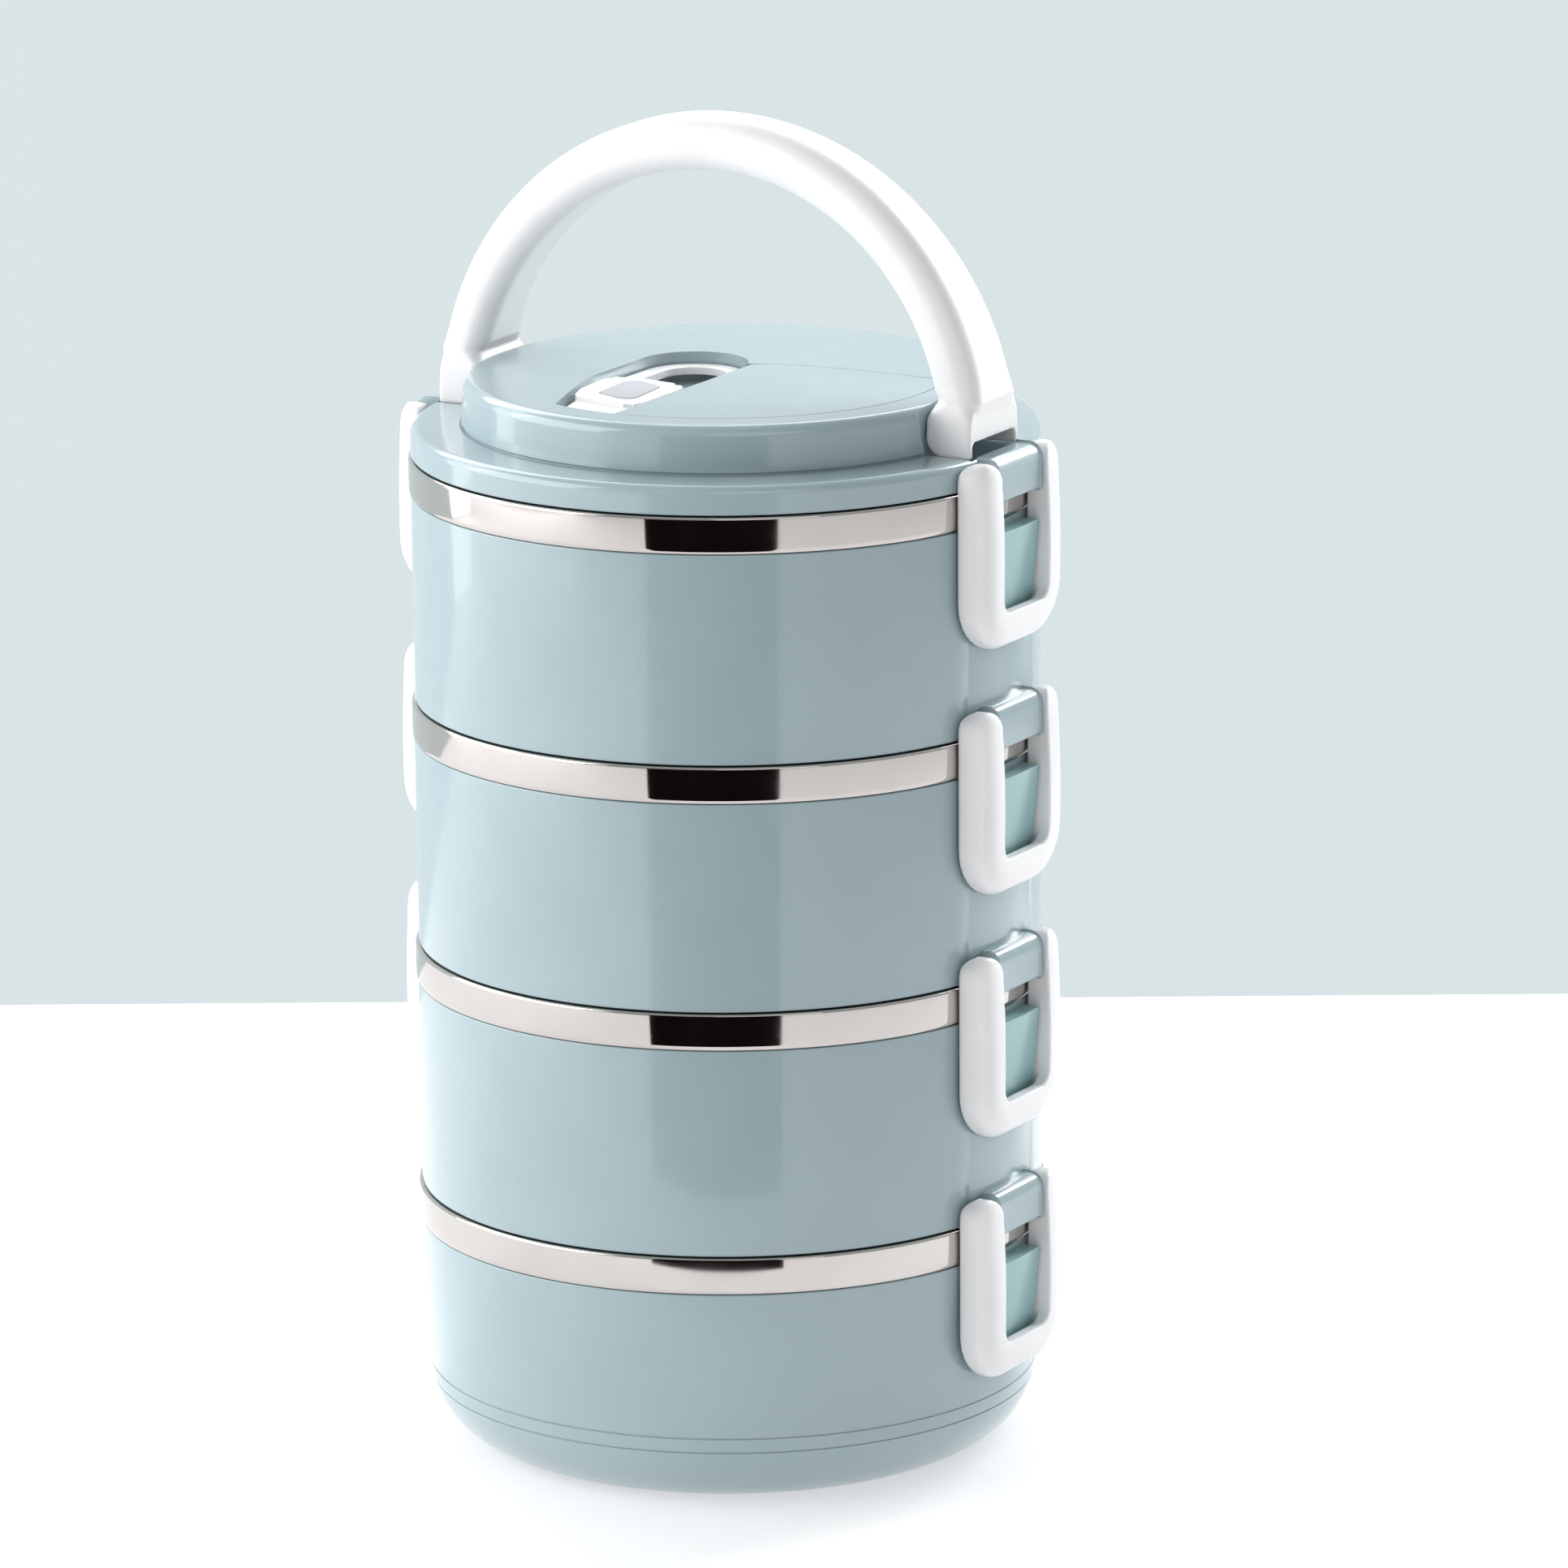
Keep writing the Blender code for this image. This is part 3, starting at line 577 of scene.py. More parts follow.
def upper_shell(below, rim):
    """Plastic shell of a tier, with the plug, foot ring and gate recess of its underside."""
    step = rim - BAND_HEIGHT - GAP
    top = rim - SHELL_TOP_DROP
    collar = BAND_RADIUS - BAND_TUCK
    floor = below - PLUG_DEPTH
    profile = fillet([
        (0, floor + 0.9), (7, floor + 0.9, 0.4), (8, floor + 0.5, 0.4), (38, floor + 0.5, 0.5),
        (39, floor, 0.4), (44, floor, 0.4), (45, floor + 0.5, 0.5), (60, floor + 0.5, 0.6), (61, floor, 0.4),
        (PLUG_RADIUS, floor, 1.2), (PLUG_RADIUS, below + GAP, 0.3), (WALL_RADIUS - 0.3, below + GAP, 0.45),
        (WALL_RADIUS, step, 0.3), (collar, step), (collar, top), (SHELL_MOUTH, top),
        (SHELL_MOUTH, below + 2.3, 1), (PLUG_RADIUS - WALL, below + 2.3, 0.8),
        (PLUG_RADIUS - WALL, floor + 1.8, 1),
        (0, floor + 1.8),
    ], closed=False)
    return with_lugs(lathe(profile), below)


def grooved_corner():
    """The base's big rounded lower corner with its two fine grooves, from the foot upwards."""
    centre = (FOOT_RADIUS, FOOT_CORNER)
    depth, half = 0.28, 0.75
    points = []
    start = -90
    for height in FOOT_GROOVES:
        angle = math.degrees(math.asin((height - FOOT_CORNER) / FOOT_CORNER))
        steps = max(2, round((angle - half - start) / 4))
        points += arc(centre, FOOT_CORNER, start, angle - half, steps)
        points += arc(centre, FOOT_CORNER - depth, angle - half / 2, angle + half / 2, 1)
        start = angle + half
    return points + arc(centre, FOOT_CORNER, start, start + 0.4, 1)


def base_shell(rim):
    step = rim - BAND_HEIGHT - GAP
    top = rim - SHELL_TOP_DROP
    collar = BAND_RADIUS - BAND_TUCK
    centre = (FOOT_RADIUS, FOOT_CORNER)
    under = fillet([
        (0, 1.6), (8, 1.6, 0.4), (9, 1.0, 0.4), (30, 1.0, 0.4), (30.8, 1.5, 0.4), (34, 1.5, 0.4),
        (34.8, 1.0, 0.4), (43, 1.0, 0.5), (44, 0, 0.5), (FOOT_RADIUS - 0.5, 0),
    ], closed=False)
    wall = fillet([
        (71.9, 28), (72.4, 38, 60), (WALL_RADIUS, step, 0.3), (collar, step),
        (collar, top), (SHELL_MOUTH, top), (70.0, 38),
    ], closed=False)
    inside = arc(centre, FOOT_CORNER - 2.3, 0, -90, 20)
    return lathe(under + grooved_corner() + wall + inside + [(0, 2.9)])


# Steel bowls

def rim_outline(rim):
    """Folded rim from the bowl's outside round to its inside. The outer leaf is the polished band."""
    low, high = rim - BAND_HEIGHT, rim
    steps = 12
    face = []
    for i in range(steps + 1):
        share = 2 * i / steps - 1
        height = low + 0.5 + (BAND_HEIGHT - 1.2) * i / steps
        face.append((BAND_RADIUS - BAND_CROWN * share**2, height))
    lower_edge = [(BAND_RADIUS - 1, low + 0.2), (BAND_RADIUS - 0.75, low), (BAND_RADIUS - 0.35, low + 0.05)]
    roll = arc((BAND_RADIUS - 0.66, high - 0.62), 0.6, 8, 90, 8)
    inner_roll = arc((BOWL_RADIUS + 0.5, high - 0.52), 0.5, 90, 180, 6)
    under = [(BOWL_RADIUS + STEEL, high - 0.8), (BAND_RADIUS - 1, high - 0.8)]
    return under + lower_edge + face + roll + inner_roll


def bowl(outer, inner, rim):
    outside = fillet([*outer, (BOWL_RADIUS + STEEL, rim - 1.2)], closed=False, step=6)
    inside = fillet([(BOWL_RADIUS, rim - 1.2), *inner], closed=False, step=6)
    return lathe(outside + rim_outline(rim) + inside, STEEL_SEGMENTS)


def upper_liner(below, rim):
    floor = below - PLUG_DEPTH + 2.2
    outer = [(0, floor), (59.5, floor, 6), (63.2, below + 3.4, 5), (68.9, below + 10, 4)]
    inner = [
        (BOWL_RADIUS, rim - 4.6, 1), (BOWL_RADIUS - 0.25, rim - 5.4, 1), (BOWL_RADIUS - 0.1, below + 10.3, 4),
        (62.5, below + 3.7, 5), (59.0, floor + STEEL, 5.4), (34, floor + STEEL, 1),
        (33, floor + STEEL + 0.35, 1), (0, floor + STEEL + 0.35),
    ]
    return bowl(outer, inner, rim)


def base_liner(rim):
    outer = [(0, 3.3), (68.2, 3.6, 15.4)]
    inner = [
        (BOWL_RADIUS, rim - 4.6, 1), (BOWL_RADIUS - 0.25, rim - 5.4, 1), (67.5, 4.3, 14.8), (34, 4.0, 1),
        (33, 4.35, 1), (0, 4.35),
    ]
    return bowl(outer, inner, rim)


def seal(rim):
    """Silicone ring with two thin lips that meet the bowl of the tier below."""
    inner = PLUG_RADIUS + GAP
    outer = BOWL_RADIUS - GAP
    profile = fillet([
        (inner, rim - 4.6, 0.3), (inner + 1.0, rim - 4.6, 0.3), (outer, rim - 3.5, 0.25),
        (inner + 1.2, rim - 2.9, 0.3), (outer, rim - 1.7, 0.25), (inner + 1.1, rim - 0.4, 0.4),
        (inner, rim - 0.3, 0.2),
    ])
    return lathe(profile)


# Clips and keepers

def pin(radius, near, far):
    """Steel pin along X with chamfered ends."""
    edge = radius * 0.25
    profile = [
        (0, near), (radius - edge, near), (radius, near + edge),
        (radius, far - edge), (radius - edge, far), (0, far),
    ]
    mesh = lathe(profile, 32)
    mesh.transform(Matrix.Rotation(math.radians(90), 4, "Y"))
    return mesh


def clip_path():
    """Centre line of the U from one leg's top to the other's: (across, height, half width, front setback)."""
    leg_half = (CLIP_HALF_WIDTH - WINDOW_HALF_WIDTH) / 2
    bar_half = (WINDOW_BOTTOM - CLIP_BOTTOM) / 2
    leg = WINDOW_HALF_WIDTH + leg_half
    bar = CLIP_BOTTOM + bar_half
    cap = []
    for i in range(9):
        lean = math.radians(4 + 86 * i / 8)
        rise = CLIP_TOP - leg_half + leg_half * math.cos(lean)
        cap.append((leg, rise, leg_half * math.sin(lean), 2.2 * (1 - math.sin(lean))))
    straight = [(leg, -6 - 5 * i, leg_half, 0) for i in range(5)]
    corner = []
    steps = 14
    for i in range(steps + 1):
        share = i / steps
        across, height = arc((leg - CLIP_BEND, bar + CLIP_BEND), CLIP_BEND, -90 * share, -90 * share, 1)[0]
        corner.append((across, height, leg_half + (bar_half - leg_half) * share, 0))
    half = cap + straight + corner
    crossbar = [((leg - CLIP_BEND) * (1 - 2 * i / 6), bar, bar_half, 0) for i in range(1, 6)]
    return half + crossbar + [(-y, z, *rest) for y, z, *rest in reversed(half)]


def bar_section(half, front):
    """Section of the bar: crisp beside the window, with one long curve over its front and outer side."""
    crisp = min(CLIP_WINDOW_EDGE, half * 0.5)
    wide, deep = 2 * half - crisp, front - CLIP_CROWN_START
    steps = 12
    crown = []
    for i in range(steps + 1):
        turn = math.pi / 2 * i / steps
        along = max(0.0, math.cos(turn)) ** (2 / CLIP_CROWN_POWER)
        out = math.sin(turn) ** (2 / CLIP_CROWN_POWER)
        crown.append((half - wide * (1 - along), CLIP_CROWN_START + deep * out))
    back = [(-half, -4.5), (half, -3.7, min(CLIP_BACK_EDGE, half * 0.8))]
    return fillet(back + crown + [(-half, front, crisp * 0.9)])


def clip():
    """U-shaped clip about its own pin: a soft bar swept round the U, with a hooked shelf inside it."""
    path = clip_path()
    rings = []
    for i, (across, height, half, setback) in enumerate(path):
        before, after = path[max(i - 1, 0)], path[min(i + 1, len(path) - 1)]
        along = Vector((after[0] - before[0], after[1] - before[1])).normalized()
        side = Vector((-along.y, along.x))
        ring = []
        front = CLIP_OUTER - setback
        for out, x in bar_section(half, front):
            y, z = across + side.x * out, height + side.y * out
            drop = min(max(z / CLIP_BOTTOM, 0), 1)
            belly = CLIP_BELLY * math.sin(math.pi * drop) if x > 0 else 0
            ring.append((x + belly, y, z))
        rings.append(ring)
    back = arc((-PIN_X, 0), CLIP_BACK_RADIUS, -18, 18, 48) + [(-12, 25), (-12, -25)]
    above = WINDOW_BOTTOM + 6
    shelf = [
        (HOOK_FRONT, above), (HOOK_FRONT, HOOK_SHELF), (HOOK_LIP, HOOK_SHELF),
        (BEHIND_CLIP, HOOK_SHELF - 3.5), (BEHIND_CLIP, above),
    ]
    heel = [(BEHIND_CLIP, 0), (BEHIND_CLIP, 6), (0, 6), *arc((0, 0), CLIP_TOP, 90, 180, 16)]
    cuts = [
        prism(back, CLIP_BOTTOM - 1, 10, along_z),
        prism(heel, -25, 25, along_y),
        prism(shelf, -WINDOW_HALF_WIDTH + 0.1, WINDOW_HALF_WIDTH - 0.1, along_y),
        prism(circle((0, 0), PIN_RADIUS + GAP, 24), -PIN_REACH - 0.4, PIN_REACH + 0.4, along_y),
    ]
    return moulded(cut(loft(rings), cuts), voxel=0.26, passes=5)


def keeper(rim, wall):
    """Catch plate bent round the shell, with rounded corners and front edges."""
    outline = fillet([
        (-KEEPER_HALF_WIDTH, rim + KEEPER_BOTTOM, 3.2), (KEEPER_HALF_WIDTH, rim + KEEPER_BOTTOM, 3.2),
        (KEEPER_HALF_WIDTH, rim + KEEPER_TOP, 0.8), (-KEEPER_HALF_WIDTH, rim + KEEPER_TOP, 0.8),
    ])
    flat = prism(outline, wall, KEEPER_RADIUS, along_x, 0, 0.7, 4)
    shape = bmesh.new()
    shape.from_mesh(flat)
    for i in range(1, KEEPER_STRIPS):
        across = KEEPER_HALF_WIDTH * (2 * i / KEEPER_STRIPS - 1) * MM
        geometry = shape.verts[:] + shape.edges[:] + shape.faces[:]
        bmesh.ops.bisect_plane(shape, geom=geometry, plane_co=(0, across, 0), plane_no=(0, 1, 0))
    for vert in shape.verts:
        low = max(0.0, KEEPER_TAPER - (vert.co.z / MM - rim - KEEPER_BOTTOM))
        vert.co.x = min(vert.co.x, (KEEPER_RADIUS - KEEPER_TAPER_SLOPE * low) * MM)
        angle = vert.co.y / (KEEPER_RADIUS * MM)
        vert.co.x, vert.co.y = vert.co.x * math.cos(angle), vert.co.x * math.sin(angle)
    return to_mesh(shape)


# Lid

def well_outline(inset=0.0):
    """The vent lever's well seen from above, anticlockwise from its front right corner."""
    front = FEATURE_RADIUS - inset
    front_right = 270 - math.degrees(inset / front)
    front_left = WELL_FRONT_ANGLE + inset
    corner = [arc((0, 0), front, front_left, front_left, 1)[0]]
    side = WELL_LEFT + inset
    left = fillet([
        (side, WELL_END[1]), (side, -17, 18), (WELL_LEFT + 3 + inset, -30, 18), *corner,
    ], closed=False, step=3)
    return [
        *arc(WELL_END, -WELL_END[0] - inset, 0, 180, 36)[:-1],
        *left[:-1],
        *arc((0, 0), front, front_left, front_right, 8),
    ]


def cover_outline(inset=0.0, left=0.0):
    """The compartment's cover seen from above: a soft corner at the well, then the front arc."""
    back = fillet(
        [(38, 17.2), (26, 17.5, 40), (12, 16.2, 14), (4, 14.4, 6), (left, 12)], closed=False, step=3,
    )
    radius = FEATURE_RADIUS - inset
    start = -90 + math.degrees(left / radius)
    end = math.degrees(math.asin((16.2 - inset) / radius))
    return arc((0, 0), radius, start, end, 40) + [(x, y - inset) for x, y in back]


def handle_pocket():
    """Room for the handle's foot in the disc's side and the ledge, round the handle's pivot."""
    pivot = (0, HANDLE_PIVOT[2])
    floor = LID_RIM + 1.4
    side = math.sqrt(POCKET_RADIUS**2 - (pivot[1] - floor) ** 2)
    dip = math.degrees(math.asin((pivot[1] - floor) / POCKET_RADIUS))
    outline = arc(pivot, POCKET_RADIUS, 0, -dip, 14) + [(-side, floor)]
    outline += arc(pivot, POCKET_RADIUS, -180 + dip, -180, 14)[1:]
    outline += [(-POCKET_RADIUS, LID_TOP + 1), (POCKET_RADIUS, LID_TOP + 1)]
    return [
        prism(outline, POCKET_FACE, POCKET_OUTER, along_x),
        prism(circle(pivot, PIVOT_RADIUS + GAP, 24), 54, 60, along_x),
    ]


def lid_shell():
    seat = LID_RIM + GAP
    plug = LID_RIM - PLUG_DEPTH
    profile = fillet([
        (0, LID_TOP), (DISC_RADIUS - 0.25, LID_TOP, 2.6), (DISC_RADIUS, LEDGE + 0.35, 0.3),
        (DISC_RADIUS - 0.5, LEDGE + 0.3), (DISC_RADIUS - 0.5, LEDGE - 0.25),
        (DISC_RADIUS + 0.15, LEDGE - 0.2, 0.2), (DISC_RADIUS + 0.6, LEDGE, 0.4),
        (WALL_RADIUS, LEDGE - 0.1, 2.0), (WALL_RADIUS - 0.1, seat, 0.5),
        (PLUG_RADIUS, seat), (PLUG_RADIUS, plug, 0.9), (PLUG_RADIUS - WALL, plug),
        (PLUG_RADIUS - WALL, LEDGE - WALL), (DISC_RADIUS - WALL, LEDGE - WALL),
        (DISC_RADIUS - WALL, LID_TOP - WALL), (0, LID_TOP - WALL),
    ], closed=False)
    well_floor = LID_TOP - WELL_DEPTH
    pocket_floor = LID_TOP - COMPARTMENT_DEPTH
    under_ledge = prism(rectangle(54.5, -16.5, 70, 16.5), LID_RIM + 0.1, LEDGE - 0.5, along_z)
    in_disc = prism(rectangle(54.5, -16.2, 58.6, 16.2), LEDGE - 1, LID_TOP - 1, along_z)
    tubs = [
        prism(well_outline(-3), well_floor - 1.8, LID_TOP - 1, along_z),
        prism(cover_outline(-0.8, 1), pocket_floor - 1.6, LID_TOP - 1, along_z),
        *both_sides(under_ledge),
        *both_sides(in_disc),
    ]
    hinge = (LEVER_AXIS[1], LEVER_AXIS[2])
    hollows = [
        prism(well_outline(), well_floor, LID_TOP + 1, along_z, 0.8),
        prism(cover_outline(0, -0.6), LID_TOP - COVER_THICKNESS - GAP, LID_TOP + 1.5, along_z),
        prism(cover_outline(COMPARTMENT_INSET, COMPARTMENT_INSET), pocket_floor, LID_TOP + 2, along_z, 1.5),
        prism(circle(VENT, 2.6, 48), well_floor - 4, well_floor + 1, along_z),
        prism(circle(hinge, LEVER_BORE, 16), -19, 2, along_x),
    ]
    for tool in handle_pocket():
        hollows += both_sides(tool)
    mesh = with_lugs(cut(join(lathe(profile), tubs), hollows), LID_RIM)

    def at_top(place):
        return place.z > LID_TOP - 0.01 and place.to_2d().length < DISC_RADIUS - 5

    return soften(mesh, at_top, 0.45)


def compartment_cover():
    outline = cover_outline(GAP, 0.1)
    return prism(outline, LID_TOP - COVER_THICKNESS, LID_TOP, along_z, 0, 0.35, 3)


def lid_inner_plate():
    """Food-side plate with stiffening rings and the vent's chimney."""
    low = LID_RIM - PLUG_DEPTH + 0.3
    edge = PLUG_RADIUS - WALL - GAP
    profile = fillet([
        (0, low + 0.4), (40, low + 0.4, 0.4), (40.6, low, 0.4), (43, low, 0.4), (43.6, low + 0.4, 0.4),
        (55, low + 0.4, 0.4), (55.6, low, 0.4), (edge, low, 0.9), (edge, low + 5, 0.4),
        (edge - 1.4, low + 5, 0.4), (edge - 1.4, low + 1.3, 0.8), (0, low + 1.3),
    ], closed=False)
    chimney = prism(circle(VENT, 4.6, 48), low + 0.6, LID_TOP - WELL_DEPTH - 2.1, along_z)
    bore = prism(circle(VENT, 3.0, 48), low - 1, LID_TOP, along_z)
    return cut(join(lathe(profile), [chimney]), [bore])


def inlay_outline(grow=0.0):
    """Rounded grey panel on the button pad, about the lever's axis."""
    scale = 1 + grow / INLAY_HALF_WIDTH
    middle = [sum(values) / 4 for values in zip(*INLAY_CORNERS)]
    grown = [tuple(m + (c - m) * scale for c, m in zip(corner, middle)) for corner in INLAY_CORNERS]
    return fillet([(*corner, INLAY_ROUNDING * scale) for corner in grown])


def vent_lever():
    """Lever in the lid's well, about its own axis: finger loop, domed button pad and hinge barrel."""
    top = LID_TOP - LEVER_AXIS[2]
    axis_y = LEVER_AXIS[1]
    outline = [(x, y - axis_y) for x, y in well_outline(0.8) if y > axis_y + 1]
    outline += [(-16.3, 0), (-1, 0)]
    end = (WELL_END[0], WELL_END[1] - axis_y)
    loop_hole = arc(end, 7.8, 0, 180, 30) + [(end[0] - 7.8, 38.5), (end[0] + 7.8, 38.5)]
    pad = fillet([
        (-19.2, 11, 3), (-2.6, 7.5, 2.5), (-1.0, 10, 2), (-1.0, 30, 4), (-4, 33.6, 4), (-20, 36.2, 4),
        (-23, 33, 4), (-21.9, 19, 12),
    ])
    plate = prism(outline, -1.5, 0.35, along_z, 0, 0.5, 3)
    parts = [
        prism(pad, -1.0, top - 0.35, along_z, 0, 1.6, 6),
        prism([(-16.3, 0), (-1, 0), (-1, 12), (-19.0, 12)], -1.2, top - 1.3, along_z, 0, 0.8, 4),
        prism(circle((0, 0), 2.0, 32), -13, -1, along_x),
    ]
    hollow = [
        prism(loop_hole, -5, 5, along_z),
        prism(inlay_outline(GAP), top - 1.1, top + 2, along_z),
        prism(circle((VENT[0], VENT[1] - axis_y), 1.5, 24), -5, 0.7, along_z),
        prism(circle((0, 0), LEVER_BORE, 24), -20, 5, along_x),
    ]
    return moulded(cut(join(plate, parts), hollow), voxel=0.18, passes=3)


def vent_plug():
    """Silicone stopper under the lever: a stem up into the lever, a flange and a nose."""
    floor = LID_TOP - WELL_DEPTH
    profile = fillet([
        (0, floor - 1.7), (1.6, floor - 1.7, 0.7), (2.2, floor + 0.1, 0.3), (4.0, floor + 0.25, 0.4),
        (4.0, floor + 1.5, 0.5), (1.2, floor + 1.6, 0.3), (1.2, floor + 3.6, 0.3), (0, floor + 3.6),
    ], closed=False)
    mesh = lathe(profile, 48)
    axis = Vector((VENT[0], VENT[1] - LEVER_AXIS[1], -LEVER_AXIS[2]))
    mesh.transform(Matrix.Translation(axis * MM))
    return mesh


# Handle

def section(inner, outer, half, corner):
    """Rounded rectangle between two radii, as (radius, across) points."""
    corners = rectangle(inner, -half, outer, half)
    return fillet([(*point, corner) for point in corners])


def arch():
    """The bow and its two legs, down to the pivot."""
    legs = ((-3.0, 69.8, 10.4, 3.0), (1.5, 70.2, 11.0, 3.4), (5.0, 71.2, 11.2, 4.2))
    rings = [
        [(r, y, height) for r, y in section(LEG_INNER, outer, half, corner)]
        for height, outer, half, corner in legs
    ]
    for step in range(ARCH_STEPS + 1):
        angle = ARCH_START + (90 - ARCH_START) * step / ARCH_STEPS
        share = (angle - ARCH_START) / (90 - ARCH_START)
        half = LEG_HALF_WIDTH + (ARCH_HALF_WIDTH - LEG_HALF_WIDTH) * share
        inner = ARCH_INNER + LEG_CLEARANCE * (1 - share)
        turn = math.radians(angle)
        rings.append([
            (r * math.cos(turn), y, ARCH_BASE + r * math.sin(turn))
            for r, y in section(inner, ARCH_OUTER, half, ARCH_CORNER)
        ])
    rings += [[(-x, y, z) for x, y, z in ring] for ring in reversed(rings[:-1])]
    return loft(rings)


def foot():
    """Foot of the handle, with a cheek on each side of the opening under it and a rounded toe inside."""
    wide = FOOT_HALF_WIDTH - 0.3
    rings = []
    for height in (FOOT_BOTTOM, -7.3, -6.8, -6.0, -5.0, -4.0, -3.2):
        drop = max(0.0, FOOT_BOTTOM + FOOT_TOE - height)
        inner = FOOT_INNER + FOOT_TOE - math.sqrt(max(0.0, FOOT_TOE**2 - drop**2))
        rings.append((height, inner, wide))
    rings += [
        (1.0, FOOT_INNER, wide), (2.4, FOOT_INNER + 0.5, wide - 0.1), (4.2, FOOT_INNER + 1.4, wide - 0.4),
        (6.2, FOOT_INNER + 2.2, wide - 0.9), (8.5, FOOT_INNER + 2.8, wide - 1.7),
    ]
    block = loft([
        [(r, y, height) for r, y in section(inner, FOOT_OUTER, half, 0.5 + 0.6 * max(0, height))]
        for height, inner, half in rings
    ])
    under = fillet([
        (-CHEEK_INSIDE, -20), (CHEEK_INSIDE, -20), (CHEEK_INSIDE, OPENING_TOP, 1.2),
        (-CHEEK_INSIDE, OPENING_TOP, 1.2),
    ])
    return cut(block, [prism(under, 50, 80, along_x)])


def handle():
    bores = both_sides(prism(circle((0, 0), PIVOT_RADIUS + GAP, 32), 50, 66.6, along_x))
    whole = join(arch(), both_sides(foot()))
    return moulded(cut(whole, bores), voxel=0.36, passes=3)


# Assembly

SIDES = (("right", 0.0), ("left", math.pi))


def build_tiers():
    piece("tier_1_shell", base_shell(RIMS[0]), "shell_blue", "base")
    piece("tier_1_liner", base_liner(RIMS[0]), "polished_steel", "base")
    shell = upper_shell(RIMS[0], RIMS[1])
    liner = upper_liner(RIMS[0], RIMS[1])
    ring = seal(RIMS[0])
    for level in (1, 2, 3):
        name = f"tier_{level + 1}"
        place = (0, 0, RIMS[level] - RIMS[1])
        piece(f"{name}_shell", shell, "shell_blue", name, place)
        piece(f"{name}_liner", liner, "polished_steel", name, place)
        piece(f"{name}_seal", ring, "white_silicone", name, place)
    piece("lid_seal", ring, "white_silicone", "lid", (0, 0, LID_RIM - RIMS[0]))
    plate = keeper(0, WALL_RADIUS + GAP - 0.2)
    for level, rim in enumerate(RIMS):
        body = "base" if level == 0 else f"tier_{level + 1}"
        for side, turn in SIDES:
            piece(f"tier_{level + 1}_keeper_{side}", plate, "keeper_teal", body, (0, 0, rim), turn)


def build_clips():
    hook = clip()
    axle = pin(PIN_RADIUS, -PIN_REACH, PIN_REACH)
    axle.transform(Matrix.Rotation(math.radians(90), 4, "Z"))
    for rim, name in zip(RIMS, ("tier_2", "tier_3", "tier_4", "lid")):
        for side, turn in SIDES:
            place = (PIN_X * math.cos(turn), 0, rim + PIN_ABOVE_RIM)
            piece(f"{name}_clip_{side}", hook, "white_plastic", f"{name}_clip_{side}", place, turn)
            piece(f"{name}_clip_pin_{side}", axle, "polished_steel", name, place, turn)


def build_lid():
    piece("lid_shell", lid_shell(), "shell_blue", "lid")
    piece("lid_inner_plate", lid_inner_plate(), "white_plastic", "lid")
    piece("compartment_cover", compartment_cover(), "shell_blue", "compartment_cover")
    piece("handle", handle(), "white_plastic", "handle", HANDLE_PIVOT)
    axle = pin(PIVOT_RADIUS, *PIVOT_PIN_ENDS)
    for side, turn in SIDES:
        piece(f"handle_pin_{side}", axle, "polished_steel", "lid", HANDLE_PIVOT, turn)
    piece("vent_lever", vent_lever(), "white_plastic", "vent_lever", LEVER_AXIS)
    lever_axle = pin(LEVER_PIN_RADIUS, *LEVER_PIN_ENDS)
    piece("vent_lever_pin", lever_axle, "polished_steel", "lid", LEVER_AXIS)
    top = LID_TOP - LEVER_AXIS[2]
    inlay = prism(inlay_outline(), top - 0.8, top - 0.2, along_z, 0, 0.25, 3)
    piece("vent_lever_inlay", inlay, "grey_inlay", "vent_lever", LEVER_AXIS)
    piece("vent_plug", vent_plug(), "white_silicone", "vent_lever", LEVER_AXIS)


# Stage

def stage_place(right, away, up):
    """A place given from the camera's point of view, in metres from the stack's foot."""
    return Matrix.Rotation(CAMERA_HEADING, 4, "Z") @ Vector((right, away, up))


def stage_plane(name, corners, material):
    shape = bmesh.new()
    shape.faces.new([shape.verts.new(stage_place(*corner)) for corner in corners])
    mesh = bpy.data.meshes.new(name)
    shape.to_mesh(mesh)
    shape.free()
    obj = bpy.data.objects.new(name, mesh)
    bpy.context.scene.collection.objects.link(obj)
    mesh.materials.append(material)
    return obj


def glowing(name, colour, strength, lit):
    """Stage paint that gives some light of its own, so that it stays even. It is clear from behind."""
    made = Nodes(name)
    made.finish(
        Base_Color=linear(scaled(colour, lit)), Roughness=1.0, Specular_IOR_Level=0.0,
        Emission_Color=linear(colour), Emission_Strength=strength,
    )
    clear = made.add("ShaderNodeBsdfTransparent").outputs[0]
    behind = made.add("ShaderNodeNewGeometry").outputs["Backfacing"]
    mixed = made.add("ShaderNodeMixShader", {0: behind, 1: made.shader.outputs[0], 2: clear}).outputs[0]
    made.tree.links.new(mixed, made.tree.nodes["Material Output"].inputs["Surface"])
    return made.material


def build_stage():
    reach = STAGE_REACH
    white = glowing("floor_white", FLOOR_WHITE, strength=0.55, lit=0.75)
    floor = [(-reach, -reach, 0), (reach, -reach, 0), (reach, reach, 0), (-reach, reach, 0)]
    stage_plane("floor", floor, white)
    pale = glowing("backdrop_blue", BACKDROP_BLUE, strength=0.85, lit=0.4)
    back, high = BACKDROP_DISTANCE, BACKDROP_HEIGHT
    wall = [(-reach, back, 0), (reach, back, 0), (reach, back, high), (-reach, back, high)]
    stage_plane("backdrop", wall, pale).visible_shadow = False


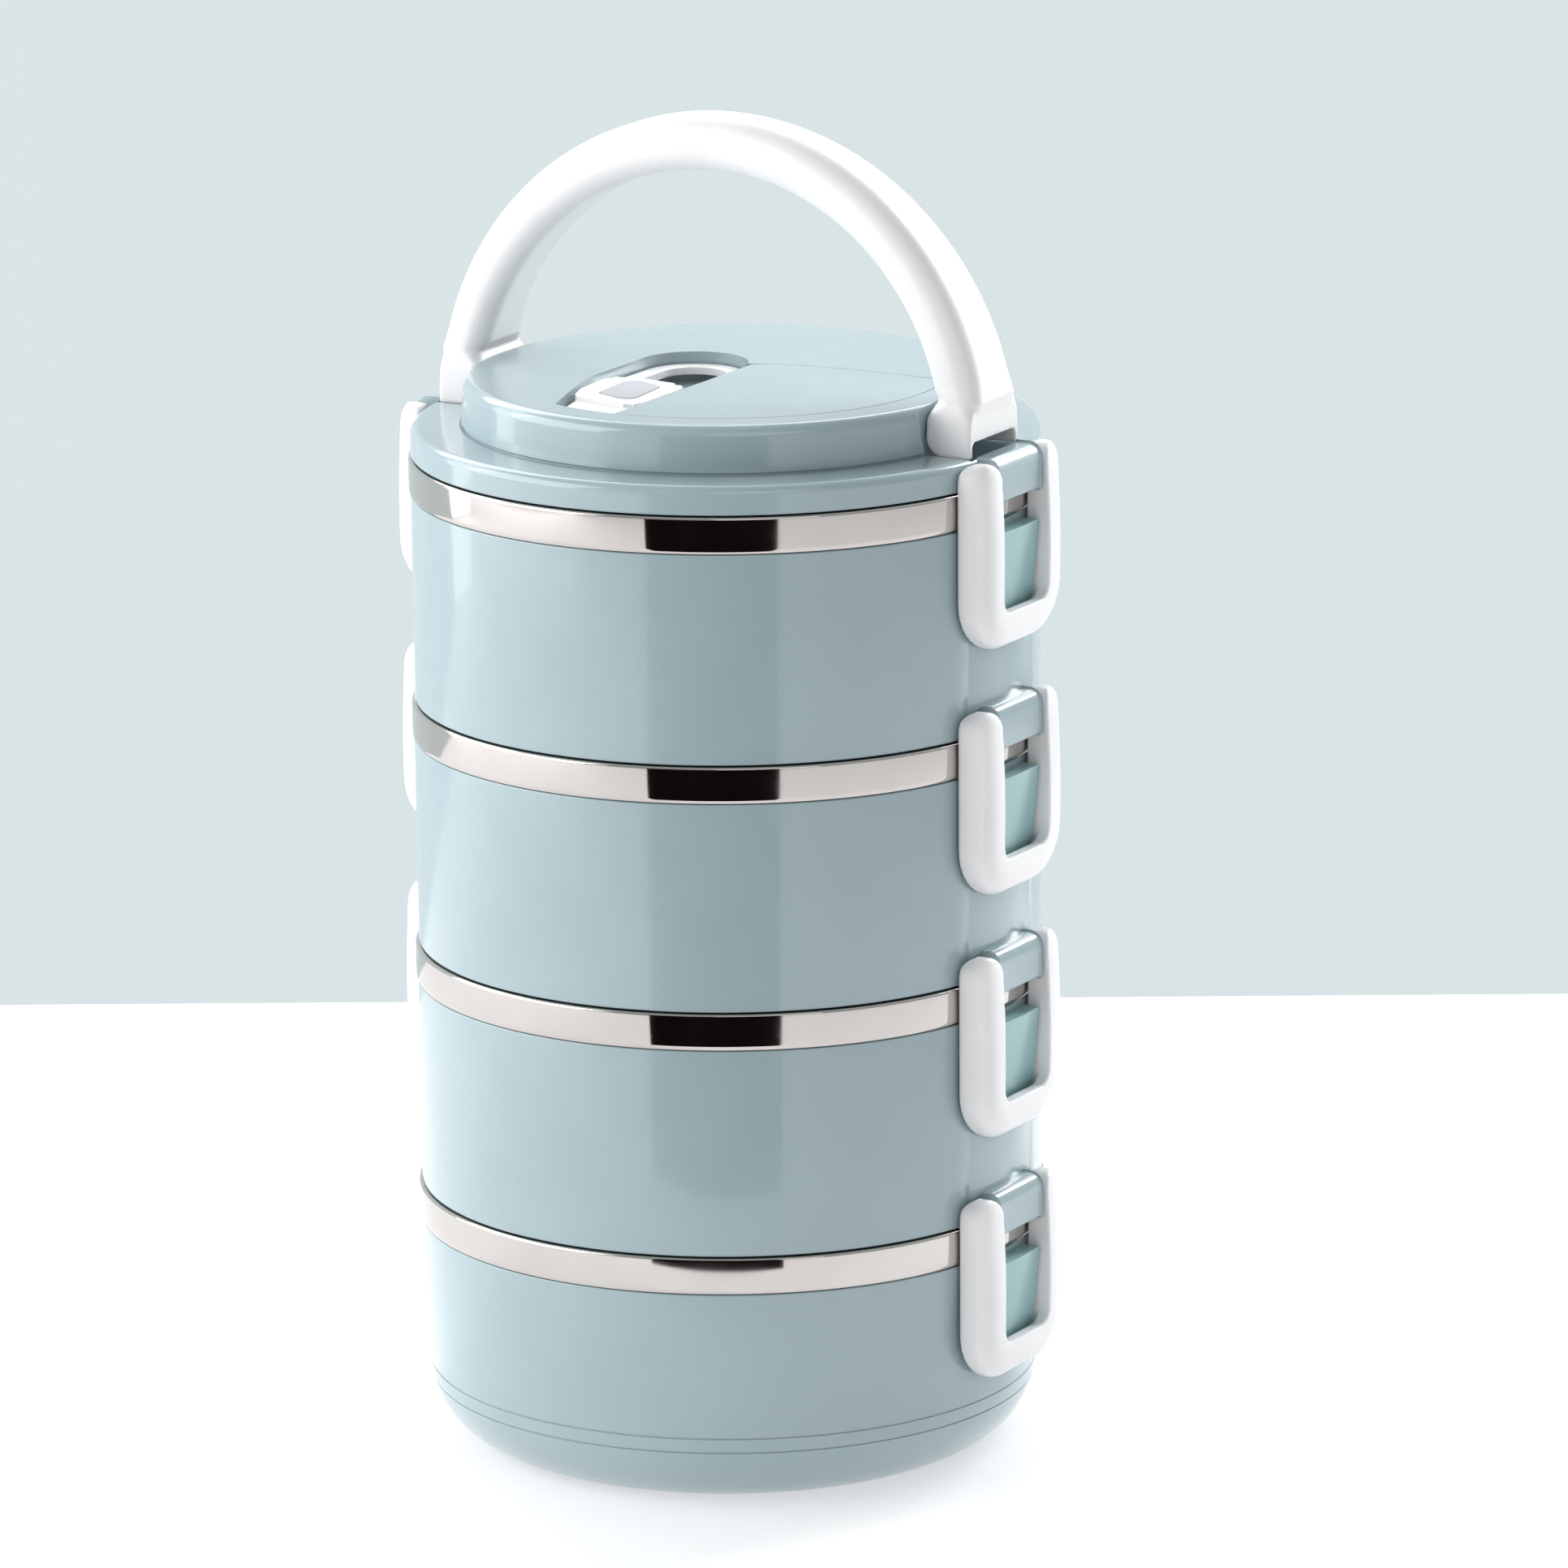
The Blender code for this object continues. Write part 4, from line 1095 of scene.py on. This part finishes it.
def dark_card(name, left, right, low, high, distance):
    """Upright dark card that only reflections see, square to a line from the stack's axis."""
    black = Nodes(f"{name}_black").finish(Base_Color=CARD_BLACK, Roughness=1.0, Specular_IOR_Level=0.0)
    corners = [(across, -distance, up) for across, up in rectangle(left, low, right, high)]
    card = stage_plane(name, corners, black)
    card.visible_camera = False
    card.visible_diffuse = False
    card.visible_shadow = False
    card.visible_transmission = False
    return card


def softbox(name, place, aim, width, height, power):
    """Area light seen only in what it lights and in reflections, turned from place towards aim."""
    data = bpy.data.lights.new(name, "AREA")
    data.shape = "RECTANGLE"
    data.size, data.size_y = width, height
    data.energy = power
    obj = bpy.data.objects.new(name, data)
    bpy.context.scene.collection.objects.link(obj)
    obj.location = stage_place(*place)
    towards = stage_place(*aim) - obj.location
    obj.rotation_euler = towards.to_track_quat("-Z", "Y").to_euler()
    obj.visible_camera = False
    return obj


def build_lights():
    back = BACKDROP_DISTANCE - 0.02
    softbox("key_left", (-1.25, -0.25, 0.62), (0, 0, 0.2), width=1.3, height=1.2, power=17)
    softbox("left_back", (-0.75, back, 0.4), (-0.45, 0, 0.3), width=0.6, height=0.8, power=3.0)
    softbox("right_back", (0.5, back, 0.4), (0.3, 0, 0.3), width=0.16, height=0.8, power=5.0)
    softbox("back_sky", (0, back, 0.52), (0, 0, 0.4), width=1.0, height=0.5, power=4.6)
    softbox("front_fill", (0.6, -2.2, 1.3), (0, 0, 0.12), width=1.6, height=1.2, power=5.2)
    world = bpy.data.worlds.new("studio")
    world.use_nodes = True
    background = world.node_tree.nodes["Background"]
    background.inputs["Color"].default_value = linear(STUDIO_GREY)
    background.inputs["Strength"].default_value = 0.5
    bpy.context.scene.world = world
    bpy.context.scene.view_settings.view_transform = "Standard"


def build_camera():
    data = bpy.data.cameras.new("camera")
    data.lens = LENS
    data.sensor_width = SENSOR_WIDTH
    data.clip_end = 50
    camera = bpy.data.objects.new("camera", data)
    bpy.context.scene.collection.objects.link(camera)
    heading = Matrix.Rotation(CAMERA_HEADING, 4, "Z")
    tilt = Matrix.Rotation(math.pi / 2 - CAMERA_TILT, 4, "X")
    roll = Matrix.Rotation(CAMERA_ROLL, 4, "Z")
    camera.matrix_world = Matrix.Translation(CAMERA_PLACE) @ heading @ tilt @ roll
    bpy.context.scene.camera = camera


build_tiers()
build_clips()
build_lid()
build_stage()
dark_card("front_card", left=-0.14, right=0.085, low=0.0, high=0.26, distance=0.29)
build_lights()
build_camera()
